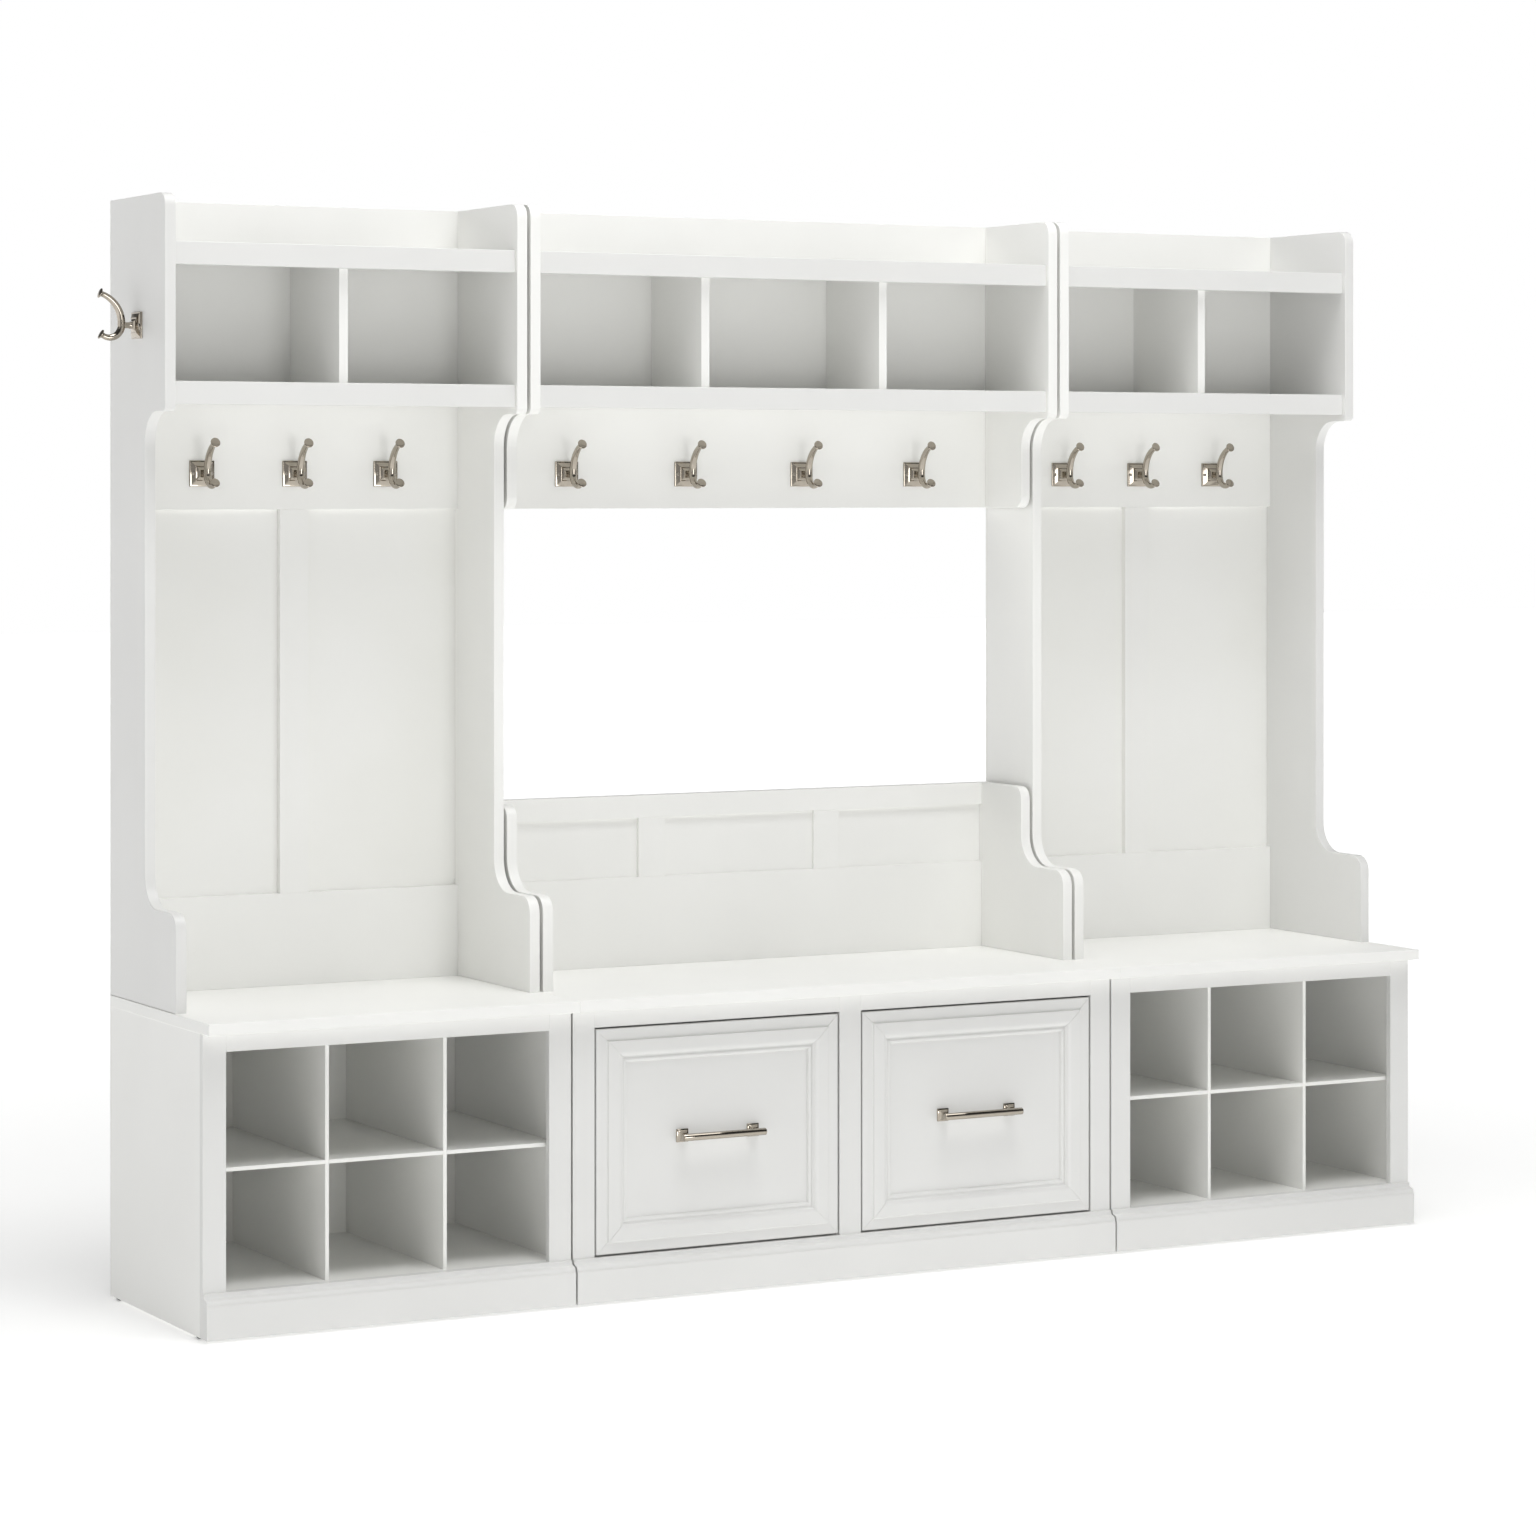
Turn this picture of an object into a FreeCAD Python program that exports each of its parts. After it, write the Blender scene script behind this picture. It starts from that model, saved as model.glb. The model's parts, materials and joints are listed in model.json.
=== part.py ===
# Hall tree with hooks: three benches side by side, two towers, a bridge unit and a low bench back.
# Millimetres, +X to the right, +Y to the wall, +Z up.  The origin is on the floor, in the middle.
import FreeCAD, Part
import math
import os
import re

import Sketcher

# ---------------------------------------------------------------- driving sizes
SIZES = {
    # benches
    "bench_depth": 437, "bench_height": 484, "shoe_width": 621, "drawer_width": 1008,
    "top_thick": 18, "top_side_lap": 1.75, "top_front_lap": 30, "carcass_board": 18,
    "back_board": 3, "glide_height": 4, "glide_dia": 34, "glide_foot": 26, "glide_inset": 20,
    "frame_thick": 12, "stile_width": 38, "mid_stile": 40, "top_rail": 29, "foot_rail": 69,
    # plinth board with its moulded top edge
    "plinth_thick": 18, "plinth_face": 51.5, "plinth_ledge": 4, "cove_round": 5,
    "ovolo_round": 7.5, "bead_step": 1.5, "bead_drop": 2,
    # shoe cubbies
    "crate_board": 6, "crate_setback": 5, "crate_pitch": 198, "crate_shelf": 252.5,
    "crate_gap": 2, "crate_slack": 0.3,
    # towers, bridge and bench back
    "full_height": 1750, "side_board": 18, "bridge_inset": 4, "over_depth": 245,
    "narrow_depth": 155, "foot_depth": 292, "over_bottom": 1411, "ledge_height": 637,
    "crown_round": 22, "nose_round": 10, "sweep_round": 52, "foot_round": 27,
    "tail_round": 20, "back_top": 772, "shelf_board": 18, "apron_height": 36,
    "apron_thick": 18, "apron_setback": 8, "top_shelf": 1675, "cubby_shelf": 1458,
    "divider_board": 15, "bridge_pitch": 338, "panel_thick": 12, "panel_bottom": 1257,
    "low_rail_top": 634, "batten_width": 50, "bridge_panel": 15, "bridge_back_inset": 20,
    "low_panel": 15, "low_trim": 7, "low_top_rail": 38,
    # coat hooks
    "hook_height": 1315, "hook_pitch": 160, "bridge_hook_pitch": 224, "side_hook_height": 1547,
    "side_hook_depth": 124, "plate_size": 42, "plate_thick": 3.5, "bevel_base": 37,
    "bevel_top": 24, "bevel_rise": 3.5, "seat_lift": 1, "plate_round": 0.8, "pyramid_base": 20,
    "pyramid_rise": 5, "pyramid_dish_in": 0.32,
    "pyramid_dish_up": 0.45, "neck_size": 11, "stem_dia": 9.5, "stem_sink": 1, "arm_reach": 27,
    "arm_dia": 11, "arm_round": 48, "crook_round": 19.8, "arm_straight": 3, "arm_turn": 69,
    "crook_turn": 120, "tip_dia": 16, "tip_thick": 1.6, "flare_root": 9.9, "flare_mouth": 13.8,
    "flare_length": 5, "flare_sink": 1.1, "screw_dia": 3.5, "screw_head": 6, "screw_dome": 1.8,
    "screw_spread": 31.5, "screw_grip": 10,
    # drawers
    "drawer_gap": 3, "front_back": 17, "front_member": 55, "panel_face": 11, "panel_tongue": 8,
    "panel_skin": 5, "band_rise": 3.5, "front_arris": 1.2, "land_width": 16.5, "step_width": 3.5,
    "step_bow_in": 1, "step_bow_up": 0.3, "bevel_start": 17, "bevel_end": 10, "bevel_bow_in": 0.62,
    "bevel_bow_down": 0.36, "bead_start": 7.5, "bead_bow": 0.53, "quirk_drop": 1.2, "bead_drop_in": 2.6,
    "bead_crest": 1.1, "mitre_groove": 1, "mitre_depth": 0.8, "box_board": 12, "box_lift": 22,
    "box_headroom": 42, "box_rear_gap": 40, "box_bottom": 5, "bottom_lift": 10, "groove": 6,
    # ball-bearing slides
    "slide_space": 12.7, "slide_height": 45, "slide_sheet": 1.2, "slide_lift": 130, "ball_gap": 1.3,
    "slide_float": 0.6,
    # drawer pulls
    "pull_pitch": 128, "pull_bar": 11.5, "pull_stand": 26, "pull_base": 21,
    "pull_base_thick": 3, "pull_step": 17, "pull_peak": 9, "pull_rise": 8, "pull_dish": 1,
    "pull_post": 5, "pull_round": 1, "pull_screw": 4, "pull_screw_head": 9, "pull_screw_cap": 2.5,
    "pull_thread": 8,
    # joining and wall fixing
    "connector_dia": 6, "connector_head": 14, "connector_cap": 2, "connector_nut": 12,
    "nut_length": 7, "nut_depth": 5, "connector_drop": 9, "connector_front": 45, "connector_rear": 60,
    "wall_hole": 5, "wall_hole_drop": 98, "wall_hole_spread": 400,
    # softened edges, and how far a cutting shape runs past the piece it cuts
    "edge_round": 1.2, "thin_round": 0.6, "cut_past": 5,
}

doc = FreeCAD.newDocument("HallTree")
sheet = doc.addObject("Spreadsheet::Sheet", "Sizes")
for row, (alias, value) in enumerate(SIZES.items(), start=1):
    sheet.set("A%d" % row, alias)
    sheet.set("B%d" % row, str(value))
    sheet.setAlias("B%d" % row, alias)
doc.recompute()

# Planes that several pieces share, written with the sheet's names.
REAR = "(bench_depth - back_board) / 2"
FRAME_BACK = "(bench_depth - top_front_lap - frame_thick)"
FRAME_FACE = "(bench_depth - top_front_lap)"
TOP_UNDER = "(bench_height - top_thick)"
CARCASS_HEIGHT = "(bench_height - top_thick - glide_height)"
FLOOR_TOP = "(glide_height + foot_rail)"
OPEN_TOP = "(bench_height - top_thick - top_rail)"
HALF = "(drawer_width / 2 + shoe_width)"
CARCASS = "(shoe_width - 2 * top_side_lap)"
BRIDGE = "(drawer_width - 2 * bridge_inset)"
DRAWER_CARCASS = "(drawer_width - 2 * top_side_lap)"
APRON_FACE = "(over_depth - apron_setback)"
FRONT_REAR = "(bench_depth - top_front_lap - front_back)"
BOX_DEPTH = "(bench_depth - top_front_lap - front_back - box_rear_gap)"
SHOE_CENTRE = "(drawer_width / 2 + shoe_width / 2)"
BAY = "((drawer_width - 2 * top_side_lap - 2 * stile_width - mid_stile) / 2)"
OPENING_HEIGHT = "(%s - %s)" % (OPEN_TOP, FLOOR_TOP)
BOX_HEIGHT = "(%s - box_lift - box_headroom)" % OPENING_HEIGHT
BAY_CENTRE = "(mid_stile / 2 + %s / 2)" % BAY

# Turns a section's X to the front, its Y upwards and its thickness to the left.
UPRIGHT = FreeCAD.Rotation(FreeCAD.Vector(0, -1, 0), FreeCAD.Vector(0, 0, 1),
                           FreeCAD.Vector(-1, 0, 0), "ZXY")

nodes = []


def bound(text):
    """The same formula with every size's name led to its cell in the sheet."""
    return re.sub(r"[a-z][a-z_]*", r"Sizes.\g<0>", text)


def size(text):
    """The value of a formula of the sheet's sizes, for the shapes that code makes."""
    values = {name: float(sheet.get(name)) for name in SIZES}
    cell = re.sub(r"[a-z][a-z_]*", lambda m: repr(values[m.group()]), text)
    total = doc.addObject("App::FeaturePython", "Probe")
    total.addProperty("App::PropertyFloat", "Answer")
    total.setExpression("Answer", cell)
    total.recompute()
    answer = total.Answer
    doc.removeObject(total.Name)
    return answer


def publish(piece, label):
    """Make a finished object one of the nodes that are written out."""
    piece.Label = label
    nodes.append(piece)
    return piece


def place(piece, x, y, z):
    """Bind an object's corner to formulas of the sheet's sizes."""
    for axis, text in zip("xyz", (x, y, z)):
        piece.setExpression("Placement.Base." + axis, bound(text))


def board(name, x, wide, behind, deep, z, high, rounded="edge_round"):
    """A board: x and z are its low corner, behind is the gap from the rear plane to its back face."""
    y = "%s - (%s) - (%s)" % (REAR, behind, deep)
    if rounded is None:
        piece = doc.addObject("Part::Box", name)
        block = piece
    else:
        piece = doc.addObject("PartDesign::Body", name)
        block = piece.newObject("PartDesign::AdditiveBox", name + "_block")
    for side, text in (("Length", wide), ("Width", deep), ("Height", high)):
        block.setExpression(side, bound(text))
    if rounded is not None:
        soft = piece.newObject("PartDesign::Fillet", name + "_edges")
        soft.Base = (block, ["Edge%d" % number for number in range(1, 13)])
        soft.setExpression("Radius", bound(rounded))
        piece.Tip = soft
    place(piece, x, y, z)
    return piece


def group(label, pieces):
    """Several separate solids in one node."""
    bundle = doc.addObject("Part::Compound", label)
    bundle.Links = pieces
    return publish(bundle, label)


def cut(name, piece, tools):
    """A piece with other solids taken out of it."""
    if len(tools) > 1:
        tool = doc.addObject("Part::Compound", name + "_tools")
        tool.Links = tools
    else:
        tool = tools[0]
    result = doc.addObject("Part::Cut", name)
    result.Base = piece
    result.Tool = tool
    return result


def rod(name, dia, length, x, y, z, direction):
    """A round bar that starts at a point and runs along an axis."""
    bar = doc.addObject("Part::Cylinder", name)
    bar.setExpression("Radius", bound("(%s) / 2" % dia))
    bar.setExpression("Height", bound(length))
    turn = FreeCAD.Rotation(FreeCAD.Vector(0, 0, 1), FreeCAD.Vector(*direction))
    bar.Placement = FreeCAD.Placement(FreeCAD.Vector(), turn)
    place(bar, x, y, z)
    return bar


def outline(body, name, corners):
    """A closed sketch through corners, each bound to two formulas measured from the body's origin."""
    sketch = body.newObject("Sketcher::SketchObject", name)
    plane = [item for item in body.Origin.OriginFeatures if item.Role == "XY_Plane"][0]
    sketch.AttachmentSupport = [(plane, "")]
    sketch.MapMode = "FlatFace"
    points = [FreeCAD.Vector(size(x), size(y), 0) for x, y in corners]
    for first, second in zip(points, points[1:] + points[:1]):
        sketch.addGeometry(Part.LineSegment(first, second), False)
    for number, (x, y) in enumerate(corners):
        after = (number + 1) % len(corners)
        sketch.addConstraint(Sketcher.Constraint("Coincident", number, 2, after, 1))
        for kind, text in (("DistanceX", x), ("DistanceY", y)):
            spot = sketch.addConstraint(Sketcher.Constraint(kind, -1, 1, number, 1, size(text)))
            sketch.setExpression("Constraints[%d]" % spot, bound(text))
    return sketch


def edges_at(shape, x, y):
    """Names of the straight edges that stand on one point of the outline."""
    found = []
    for number, edge in enumerate(shape.Edges, start=1):
        if all(abs(v.X - x) < 0.01 and abs(v.Y - y) < 0.01 for v in edge.Vertexes):
            found.append("Edge%d" % number)
    return found


def rim_edges(shape, thick):
    """Names of the edges that go round the two flat faces of a padded outline."""
    found = []
    for number, edge in enumerate(shape.Edges, start=1):
        level = edge.Vertexes[0].Z
        flat = all(abs(v.Z - level) < 0.01 for v in edge.Vertexes)
        if flat and (abs(level) < 0.01 or abs(level - thick) < 0.01):
            found.append("Edge%d" % number)
    return found


def side_panel(name, x, z, corners, curves):
    """A shaped side with its left face at x and its foot at z.

    Corners are (forward of the rear, above the foot) and curves are (corner, radius).
    """
    body = doc.addObject("PartDesign::Body", name)
    sketch = outline(body, name + "_outline", corners)
    pad = body.newObject("PartDesign::Pad", name + "_pad")
    pad.Profile = sketch
    pad.setExpression("Length", bound("side_board"))
    body.Tip = pad
    doc.recompute()
    last = pad
    for index, radius in curves:
        spot = edges_at(last.Shape, size(corners[index][0]), size(corners[index][1]))
        bend = body.newObject("PartDesign::Fillet", "%s_curve_%d" % (name, index))
        bend.Base = (last, spot)
        bend.setExpression("Radius", bound(radius))
        body.Tip = bend
        doc.recompute()
        last = bend
    rim = body.newObject("PartDesign::Fillet", name + "_rim")
    rim.Base = (last, rim_edges(last.Shape, size("side_board")))
    rim.setExpression("Radius", bound("edge_round"))
    body.Tip = rim
    body.Placement = FreeCAD.Placement(FreeCAD.Vector(), UPRIGHT)
    place(body, "(%s) + side_board" % x, REAR, z)
    return body


def sided(side, x, wide):
    """The low X of a board on the left or on the right, from its place on the left."""
    return x if side == "left" else "-(%s) - (%s)" % (x, wide)


# ---------------------------------------------------------------- connectors
def connectors(name, inner, board_thick, gap, behind_and_up):
    """Bolts that hold two units side by side: each has a cap nut and a spacer ring in the gap."""
    shanks = []
    hardware = []
    reach = "2 * %s + %s" % (board_thick, gap)
    for side, flip, out in (("left", "-", -1), ("right", "", 1)):
        for number, (behind, up) in enumerate(behind_and_up):
            tag = "%s_%s_%d" % (name, side, number)
            y = "%s - (%s)" % (REAR, behind)
            start = "%s(%s)" % (flip, inner)
            far = "%s(%s + %s)" % (flip, inner, reach)
            between = "%s(%s + %s)" % (flip, inner, board_thick)
            shank = rod(tag + "_shank", "connector_dia", reach + " + nut_depth", start, y, up, (out, 0, 0))
            head = rod(tag + "_head", "connector_head", "connector_cap", start, y, up, (-out, 0, 0))
            bolt = doc.addObject("Part::Fuse", tag + "_bolt")
            bolt.Base = shank
            bolt.Tool = head
            nut = rod(tag + "_nut_blank", "connector_nut", "nut_length", far, y, up, (out, 0, 0))
            ring = rod(tag + "_ring_blank", "connector_head", gap, between, y, up, (out, 0, 0))
            hardware += [bolt, cut(tag + "_nut", nut, [shank]), cut(tag + "_ring", ring, [shank])]
            shanks.append(shank)
    return shanks, hardware


BENCH_GAP = "(2 * top_side_lap)"
UNIT_GAP = "(bridge_inset + top_side_lap)"
bench_spots = [(behind, "%s - connector_drop - connector_head / 2" % TOP_UNDER)
               for behind in ("connector_rear", "%s - connector_front" % FRAME_BACK)]
unit_spots = [("%s - connector_front" % APRON_FACE, "%s - shelf_board - connector_drop" % level)
              for level in ("top_shelf", "cubby_shelf")]
bench_shanks, bench_bolts = connectors("bench", "%s / 2 - carcass_board" % DRAWER_CARCASS, "carcass_board",
                                       BENCH_GAP, bench_spots)
unit_shanks, unit_bolts = connectors("unit", "%s / 2 - side_board" % BRIDGE, "side_board",
                                     UNIT_GAP, unit_spots)
group("module_connectors", bench_bolts + unit_bolts)
shank_row = doc.addObject("Part::Compound", "connector_shanks")
shank_row.Links = bench_shanks + unit_shanks


# ---------------------------------------------------------------- benches
def face_frame(name, stiles, rails):
    """Upright stiles with rails between them; stiles are (x, width), rails are (x, width)."""
    sticks = []
    for number, (x, width) in enumerate(stiles):
        sticks.append(board("%s_stile_%d" % (name, number), x, width, FRAME_BACK, "frame_thick",
                            "glide_height", CARCASS_HEIGHT, "thin_round"))
    for number, (x, width) in enumerate(rails):
        sticks.append(board("%s_top_rail_%d" % (name, number), x, width, FRAME_BACK, "frame_thick",
                            OPEN_TOP, "top_rail", "thin_round"))
        sticks.append(board("%s_foot_rail_%d" % (name, number), x, width, FRAME_BACK, "frame_thick",
                            "glide_height", "foot_rail", "thin_round"))
    return group(name, sticks)


def plinth(label, x, wide):
    """The plinth board: a flat face below, then a bead, an ovolo and a cove up to a narrow ledge."""
    body = doc.addObject("PartDesign::Body", label)
    sketch = body.newObject("Sketcher::SketchObject", label + "_section")
    plane = [item for item in body.Origin.OriginFeatures if item.Role == "XY_Plane"][0]
    sketch.AttachmentSupport = [(plane, "")]
    sketch.MapMode = "FlatFace"
    round_foot = "(plinth_face + bead_drop)"
    ovolo_x = "(plinth_thick - bead_step - ovolo_round)"
    ovolo_top = "(plinth_face + bead_drop + ovolo_round)"
    cove_top = "(plinth_face + bead_drop + ovolo_round + cove_round)"
    spots = [("0", "0"), ("plinth_thick", "0"), ("plinth_thick", "plinth_face"),
             ("plinth_thick - bead_step", "plinth_face"), ("plinth_thick - bead_step", round_foot),
             (ovolo_x, ovolo_top), ("plinth_ledge", cove_top), ("plinth_ledge", "foot_rail"),
             ("0", "foot_rail")]
    points = [FreeCAD.Vector(size(a), size(b), 0) for a, b in spots]
    diagonal = math.sqrt(0.5)
    ovolo_mid = FreeCAD.Vector(size(ovolo_x) + diagonal * size("ovolo_round"),
                               size(round_foot) + diagonal * size("ovolo_round"), 0)
    cove_mid = FreeCAD.Vector(size("plinth_ledge") + (1 - diagonal) * (size(ovolo_x) - size("plinth_ledge")),
                              size(cove_top) - diagonal * size("cove_round"), 0)
    middles = {4: ovolo_mid, 5: cove_mid}
    for number, start in enumerate(points):
        finish = points[(number + 1) % len(points)]
        if number in middles:
            sketch.addGeometry(Part.Arc(start, middles[number], finish), False)
        else:
            sketch.addGeometry(Part.LineSegment(start, finish), False)
    pad = body.newObject("PartDesign::Pad", label + "_pad")
    pad.Profile = sketch
    pad.setExpression("Length", bound(wide))
    body.Tip = pad
    body.Placement = FreeCAD.Placement(FreeCAD.Vector(), UPRIGHT)
    place(body, "(%s) + (%s)" % (x, wide), "%s - %s" % (REAR, FRAME_FACE), "glide_height")
    return publish(body, label)


def carcass_side(label, x):
    """One upright side of a bench."""
    panel = board(label + "_board", x, "carcass_board", "0", FRAME_BACK, "glide_height", CARCASS_HEIGHT)
    if "outer" not in label:
        panel = cut(label + "_drilled", panel, [shank_row])
    return publish(panel, label)


def bench_top(label, x, wide):
    """A bench's seat board."""
    return publish(board(label, x, wide, "0", "bench_depth", TOP_UNDER, "top_thick"), label)


def bench_floor(name, x, wide):
    """The board that closes a bench below, its face level with the foot rail."""
    return board(name, x, wide, "0", FRAME_BACK, "%s - carcass_board" % FLOOR_TOP, "carcass_board", None)


def bench_back(name, x, wide):
    """The thin back of a bench, nailed on behind the sides."""
    return board(name, x, wide, "-back_board", "back_board", "glide_height", CARCASS_HEIGHT, None)


def cubby_crate(side, left, wide):
    """One thin shelf and two uprights that slot into each other."""
    middle = SHOE_CENTRE if side == "right" else "-" + SHOE_CENTRE
    deep = "(%s - crate_setback)" % FRAME_BACK
    half = "(%s / 2)" % deep
    shelf = board("%s_crate_shelf" % side, "%s + crate_gap" % left, "%s - 2 * crate_gap" % wide,
                  "0", deep, "crate_shelf", "crate_board", None)
    slots = []
    uprights = []
    for number, sign in enumerate(("-", "+")):
        centre = "%s %s crate_pitch / 2" % (middle, sign)
        slots.append(board("%s_crate_slot_%d" % (side, number),
                           "%s - crate_board / 2 - crate_slack" % centre, "crate_board + 2 * crate_slack",
                           half, half, "crate_shelf - cut_past", "crate_board + 2 * cut_past", None))
        upright = board("%s_crate_upright_%d" % (side, number), "%s - crate_board / 2" % centre,
                        "crate_board", "0", deep, FLOOR_TOP, "%s - %s" % (TOP_UNDER, FLOOR_TOP), None)
        notch = board("%s_crate_notch_%d" % (side, number), "%s - crate_board" % centre, "2 * crate_board",
                      "-cut_past", "%s + cut_past + crate_slack" % half, "crate_shelf",
                      "crate_board + crate_slack", None)
        uprights.append(cut("%s_crate_divider_%d" % (side, number), upright, [notch]))
    return [cut("%s_crate_board" % side, shelf, slots)] + uprights


floors = []
backs = []
crates = []
for side in ("left", "right"):
    edge = "-" + HALF
    outer = "%s + top_side_lap" % edge
    inner = "%s + shoe_width - top_side_lap - carcass_board" % edge
    inside = "%s + top_side_lap + carcass_board" % edge
    clear = "(%s - 2 * carcass_board)" % CARCASS
    carcass_side("%s_bench_outer_side" % side, sided(side, outer, "carcass_board"))
    carcass_side("%s_bench_inner_side" % side, sided(side, inner, "carcass_board"))
    bench_top("%s_bench_top" % side, sided(side, edge, "shoe_width"), "shoe_width")
    opening = "(%s - 2 * stile_width)" % CARCASS
    frame_x = sided(side, outer, CARCASS)
    face_frame("%s_bench_face_frame" % side,
               [(frame_x, "stile_width"), ("%s + %s - stile_width" % (frame_x, CARCASS), "stile_width")],
               [("%s + stile_width" % frame_x, opening)])
    plinth("%s_bench_plinth" % side, frame_x, CARCASS)
    floors.append(bench_floor("%s_floor" % side, sided(side, inside, clear), clear))
    backs.append(bench_back("%s_back" % side, frame_x, CARCASS))
    crates += cubby_crate(side, sided(side, inside, clear), clear)

centre_x = "-%s / 2" % DRAWER_CARCASS
carcass_side("drawer_bench_left_side", centre_x)
carcass_side("drawer_bench_right_side", "%s / 2 - carcass_board" % DRAWER_CARCASS)
publish(board("drawer_bench_partition", "-carcass_board / 2", "carcass_board", "0", FRAME_BACK, FLOOR_TOP,
              "%s - %s" % (TOP_UNDER, FLOOR_TOP), None), "drawer_bench_partition")
spacers = []
for side in ("left", "right"):
    for name, x, thick in (("outer", "%s + carcass_board" % centre_x, "(stile_width - carcass_board)"),
                           ("inner", "-mid_stile / 2", "((mid_stile - carcass_board) / 2)")):
        spacers.append(board("%s_%s_spacer" % (side, name), sided(side, x, thick), thick,
                             "%s - %s" % (FRONT_REAR, BOX_DEPTH), BOX_DEPTH,
                             "%s + slide_lift - slide_height / 2" % FLOOR_TOP, "slide_height", None))
group("slide_spacers", spacers)
bench_top("drawer_bench_top", "-drawer_width / 2", "drawer_width")
face_frame("drawer_bench_face_frame",
           [(centre_x, "stile_width"), ("-mid_stile / 2", "mid_stile"),
            ("%s / 2 - stile_width" % DRAWER_CARCASS, "stile_width")],
           [("%s + stile_width" % centre_x, BAY), ("mid_stile / 2", BAY)])
plinth("drawer_bench_plinth", centre_x, DRAWER_CARCASS)
floors.append(bench_floor("middle_floor", "%s + carcass_board" % centre_x,
                          "%s - 2 * carcass_board" % DRAWER_CARCASS))
backs.append(bench_back("middle_back", centre_x, DRAWER_CARCASS))
group("bench_floors", floors)
group("bench_backs", backs)
group("shoe_cubby_crates", crates)

glides = []
for side in ("left", "right"):
    for number, text in enumerate(("%s / 2 - glide_dia / 2 - edge_round" % DRAWER_CARCASS,
                                   "drawer_width / 2 + top_side_lap + glide_dia / 2 + edge_round",
                                   "%s - top_side_lap - glide_dia / 2 - edge_round" % HALF)):
        x = text if side == "right" else "-(%s)" % text
        for end, behind in (("back", "glide_inset"), ("front", "%s - glide_inset" % FRAME_BACK)):
            glide = doc.addObject("Part::Cone", "%s_glide_%d_%s" % (side, number, end))
            glide.setExpression("Radius1", bound("glide_foot / 2"))
            glide.setExpression("Radius2", bound("glide_dia / 2"))
            glide.setExpression("Height", bound("glide_height"))
            place(glide, x, "%s - (%s)" % (REAR, behind), "0")
            glides.append(glide)
group("glides", glides)


# ---------------------------------------------------------------- drawers
def front_section():
    """The closed outline of a drawer front's member: across it in Y, up from its back in Z."""
    low = size("front_back")
    high = low + size("band_rise")
    wide = size("front_member")
    land = size("land_width")
    band = land + size("step_width")
    arris = size("front_arris")
    quirk = low - size("quirk_drop")
    bevel_start = wide - size("bevel_start")
    bevel_end = wide - size("bevel_end")
    bead = wide - size("bead_start")

    def spot(across, up):
        return FreeCAD.Vector(0, across, up)

    corners = [spot(0, 0), spot(0, low - arris), spot(arris, low), spot(land, low), spot(band, high),
               spot(bevel_start, high), spot(bevel_end, quirk), spot(bead, quirk),
               spot(bead, low - size("bead_drop_in")), spot(wide, size("panel_face")), spot(wide, 0)]
    bends = {3: spot(band - size("step_bow_in"), low + size("step_bow_up") * (high - low)),
             5: spot(bevel_start + size("bevel_bow_in") * (bevel_end - bevel_start),
                     high - size("bevel_bow_down") * (high - quirk)),
             8: spot(wide - size("bead_bow") * (wide - bead), low - size("bead_crest"))}
    edges = []
    for number, start in enumerate(corners):
        finish = corners[(number + 1) % len(corners)]
        if number in bends:
            edges.append(Part.Arc(start, bends[number], finish).toShape())
        else:
            edges.append(Part.LineSegment(start, finish).toShape())
    return Part.Face(Part.Wire(edges))


def drawer_front_frame(side):
    """Four mitred members round the front from one section, with a fine groove at each mitre."""
    wide = size("%s - 2 * drawer_gap" % BAY)
    tall = size("%s - 2 * drawer_gap" % OPENING_HEIGHT)
    centre = size(BAY_CENTRE) * (-1 if side == "left" else 1)
    middle = size("(%s + %s) / 2" % (OPEN_TOP, FLOOR_TOP))
    back_y = size("%s - %s + front_back" % (REAR, FRAME_FACE))
    tongue = size("panel_tongue")
    skin_back = size("panel_face - panel_skin")
    skin_face = size("panel_face")
    member = size("front_member")
    past = size("cut_past")
    beyond = member + past
    waste_deep = size("front_back + band_rise + 2 * cut_past")
    groove = size("mitre_groove") / 2

    def mitred(blank, long, inset):
        """The blank with both ends cut at 45 degrees, each cut set back by inset."""
        for end, sign in ((inset, 1), (long - inset, -1)):
            corner = [FreeCAD.Vector(end + sign * across, up, -past) for across, up in
                      ((-past, -past), (beyond, beyond), (-2 * past, beyond), (-2 * past, -past),
                       (-past, -past))]
            waste = Part.Face(Part.makePolygon(corner)).extrude(FreeCAD.Vector(0, 0, waste_deep))
            blank = blank.cut(waste)
        return blank

    members = []
    for turn, (long, reach) in enumerate(((wide, tall / 2), (tall, wide / 2)) * 2):
        blank = front_section().extrude(FreeCAD.Vector(long, 0, 0))
        rebate = Part.makeBox(long, tongue, skin_face - skin_back,
                              FreeCAD.Vector(0, member - tongue, skin_back))
        blank = blank.cut(rebate)
        lowered = blank.copy()
        lowered.translate(FreeCAD.Vector(0, 0, -size("mitre_depth")))
        core = mitred(blank, long, 0).common(lowered)
        bar = mitred(blank, long, groove).fuse(core)
        bar.translate(FreeCAD.Vector(-long / 2, -reach, 0))
        bar.rotate(FreeCAD.Vector(), FreeCAD.Vector(0, 0, 1), 90 * turn)
        bar.rotate(FreeCAD.Vector(), FreeCAD.Vector(1, 0, 0), 90)
        members.append(bar)
    frame = doc.addObject("Part::Feature", "%s_drawer_front_frame" % side)
    frame.Shape = Part.makeCompound(members)
    frame.Placement = FreeCAD.Placement(FreeCAD.Vector(centre, back_y, middle), FreeCAD.Rotation())
    return publish(frame, "%s_drawer_front_frame" % side)


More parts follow.
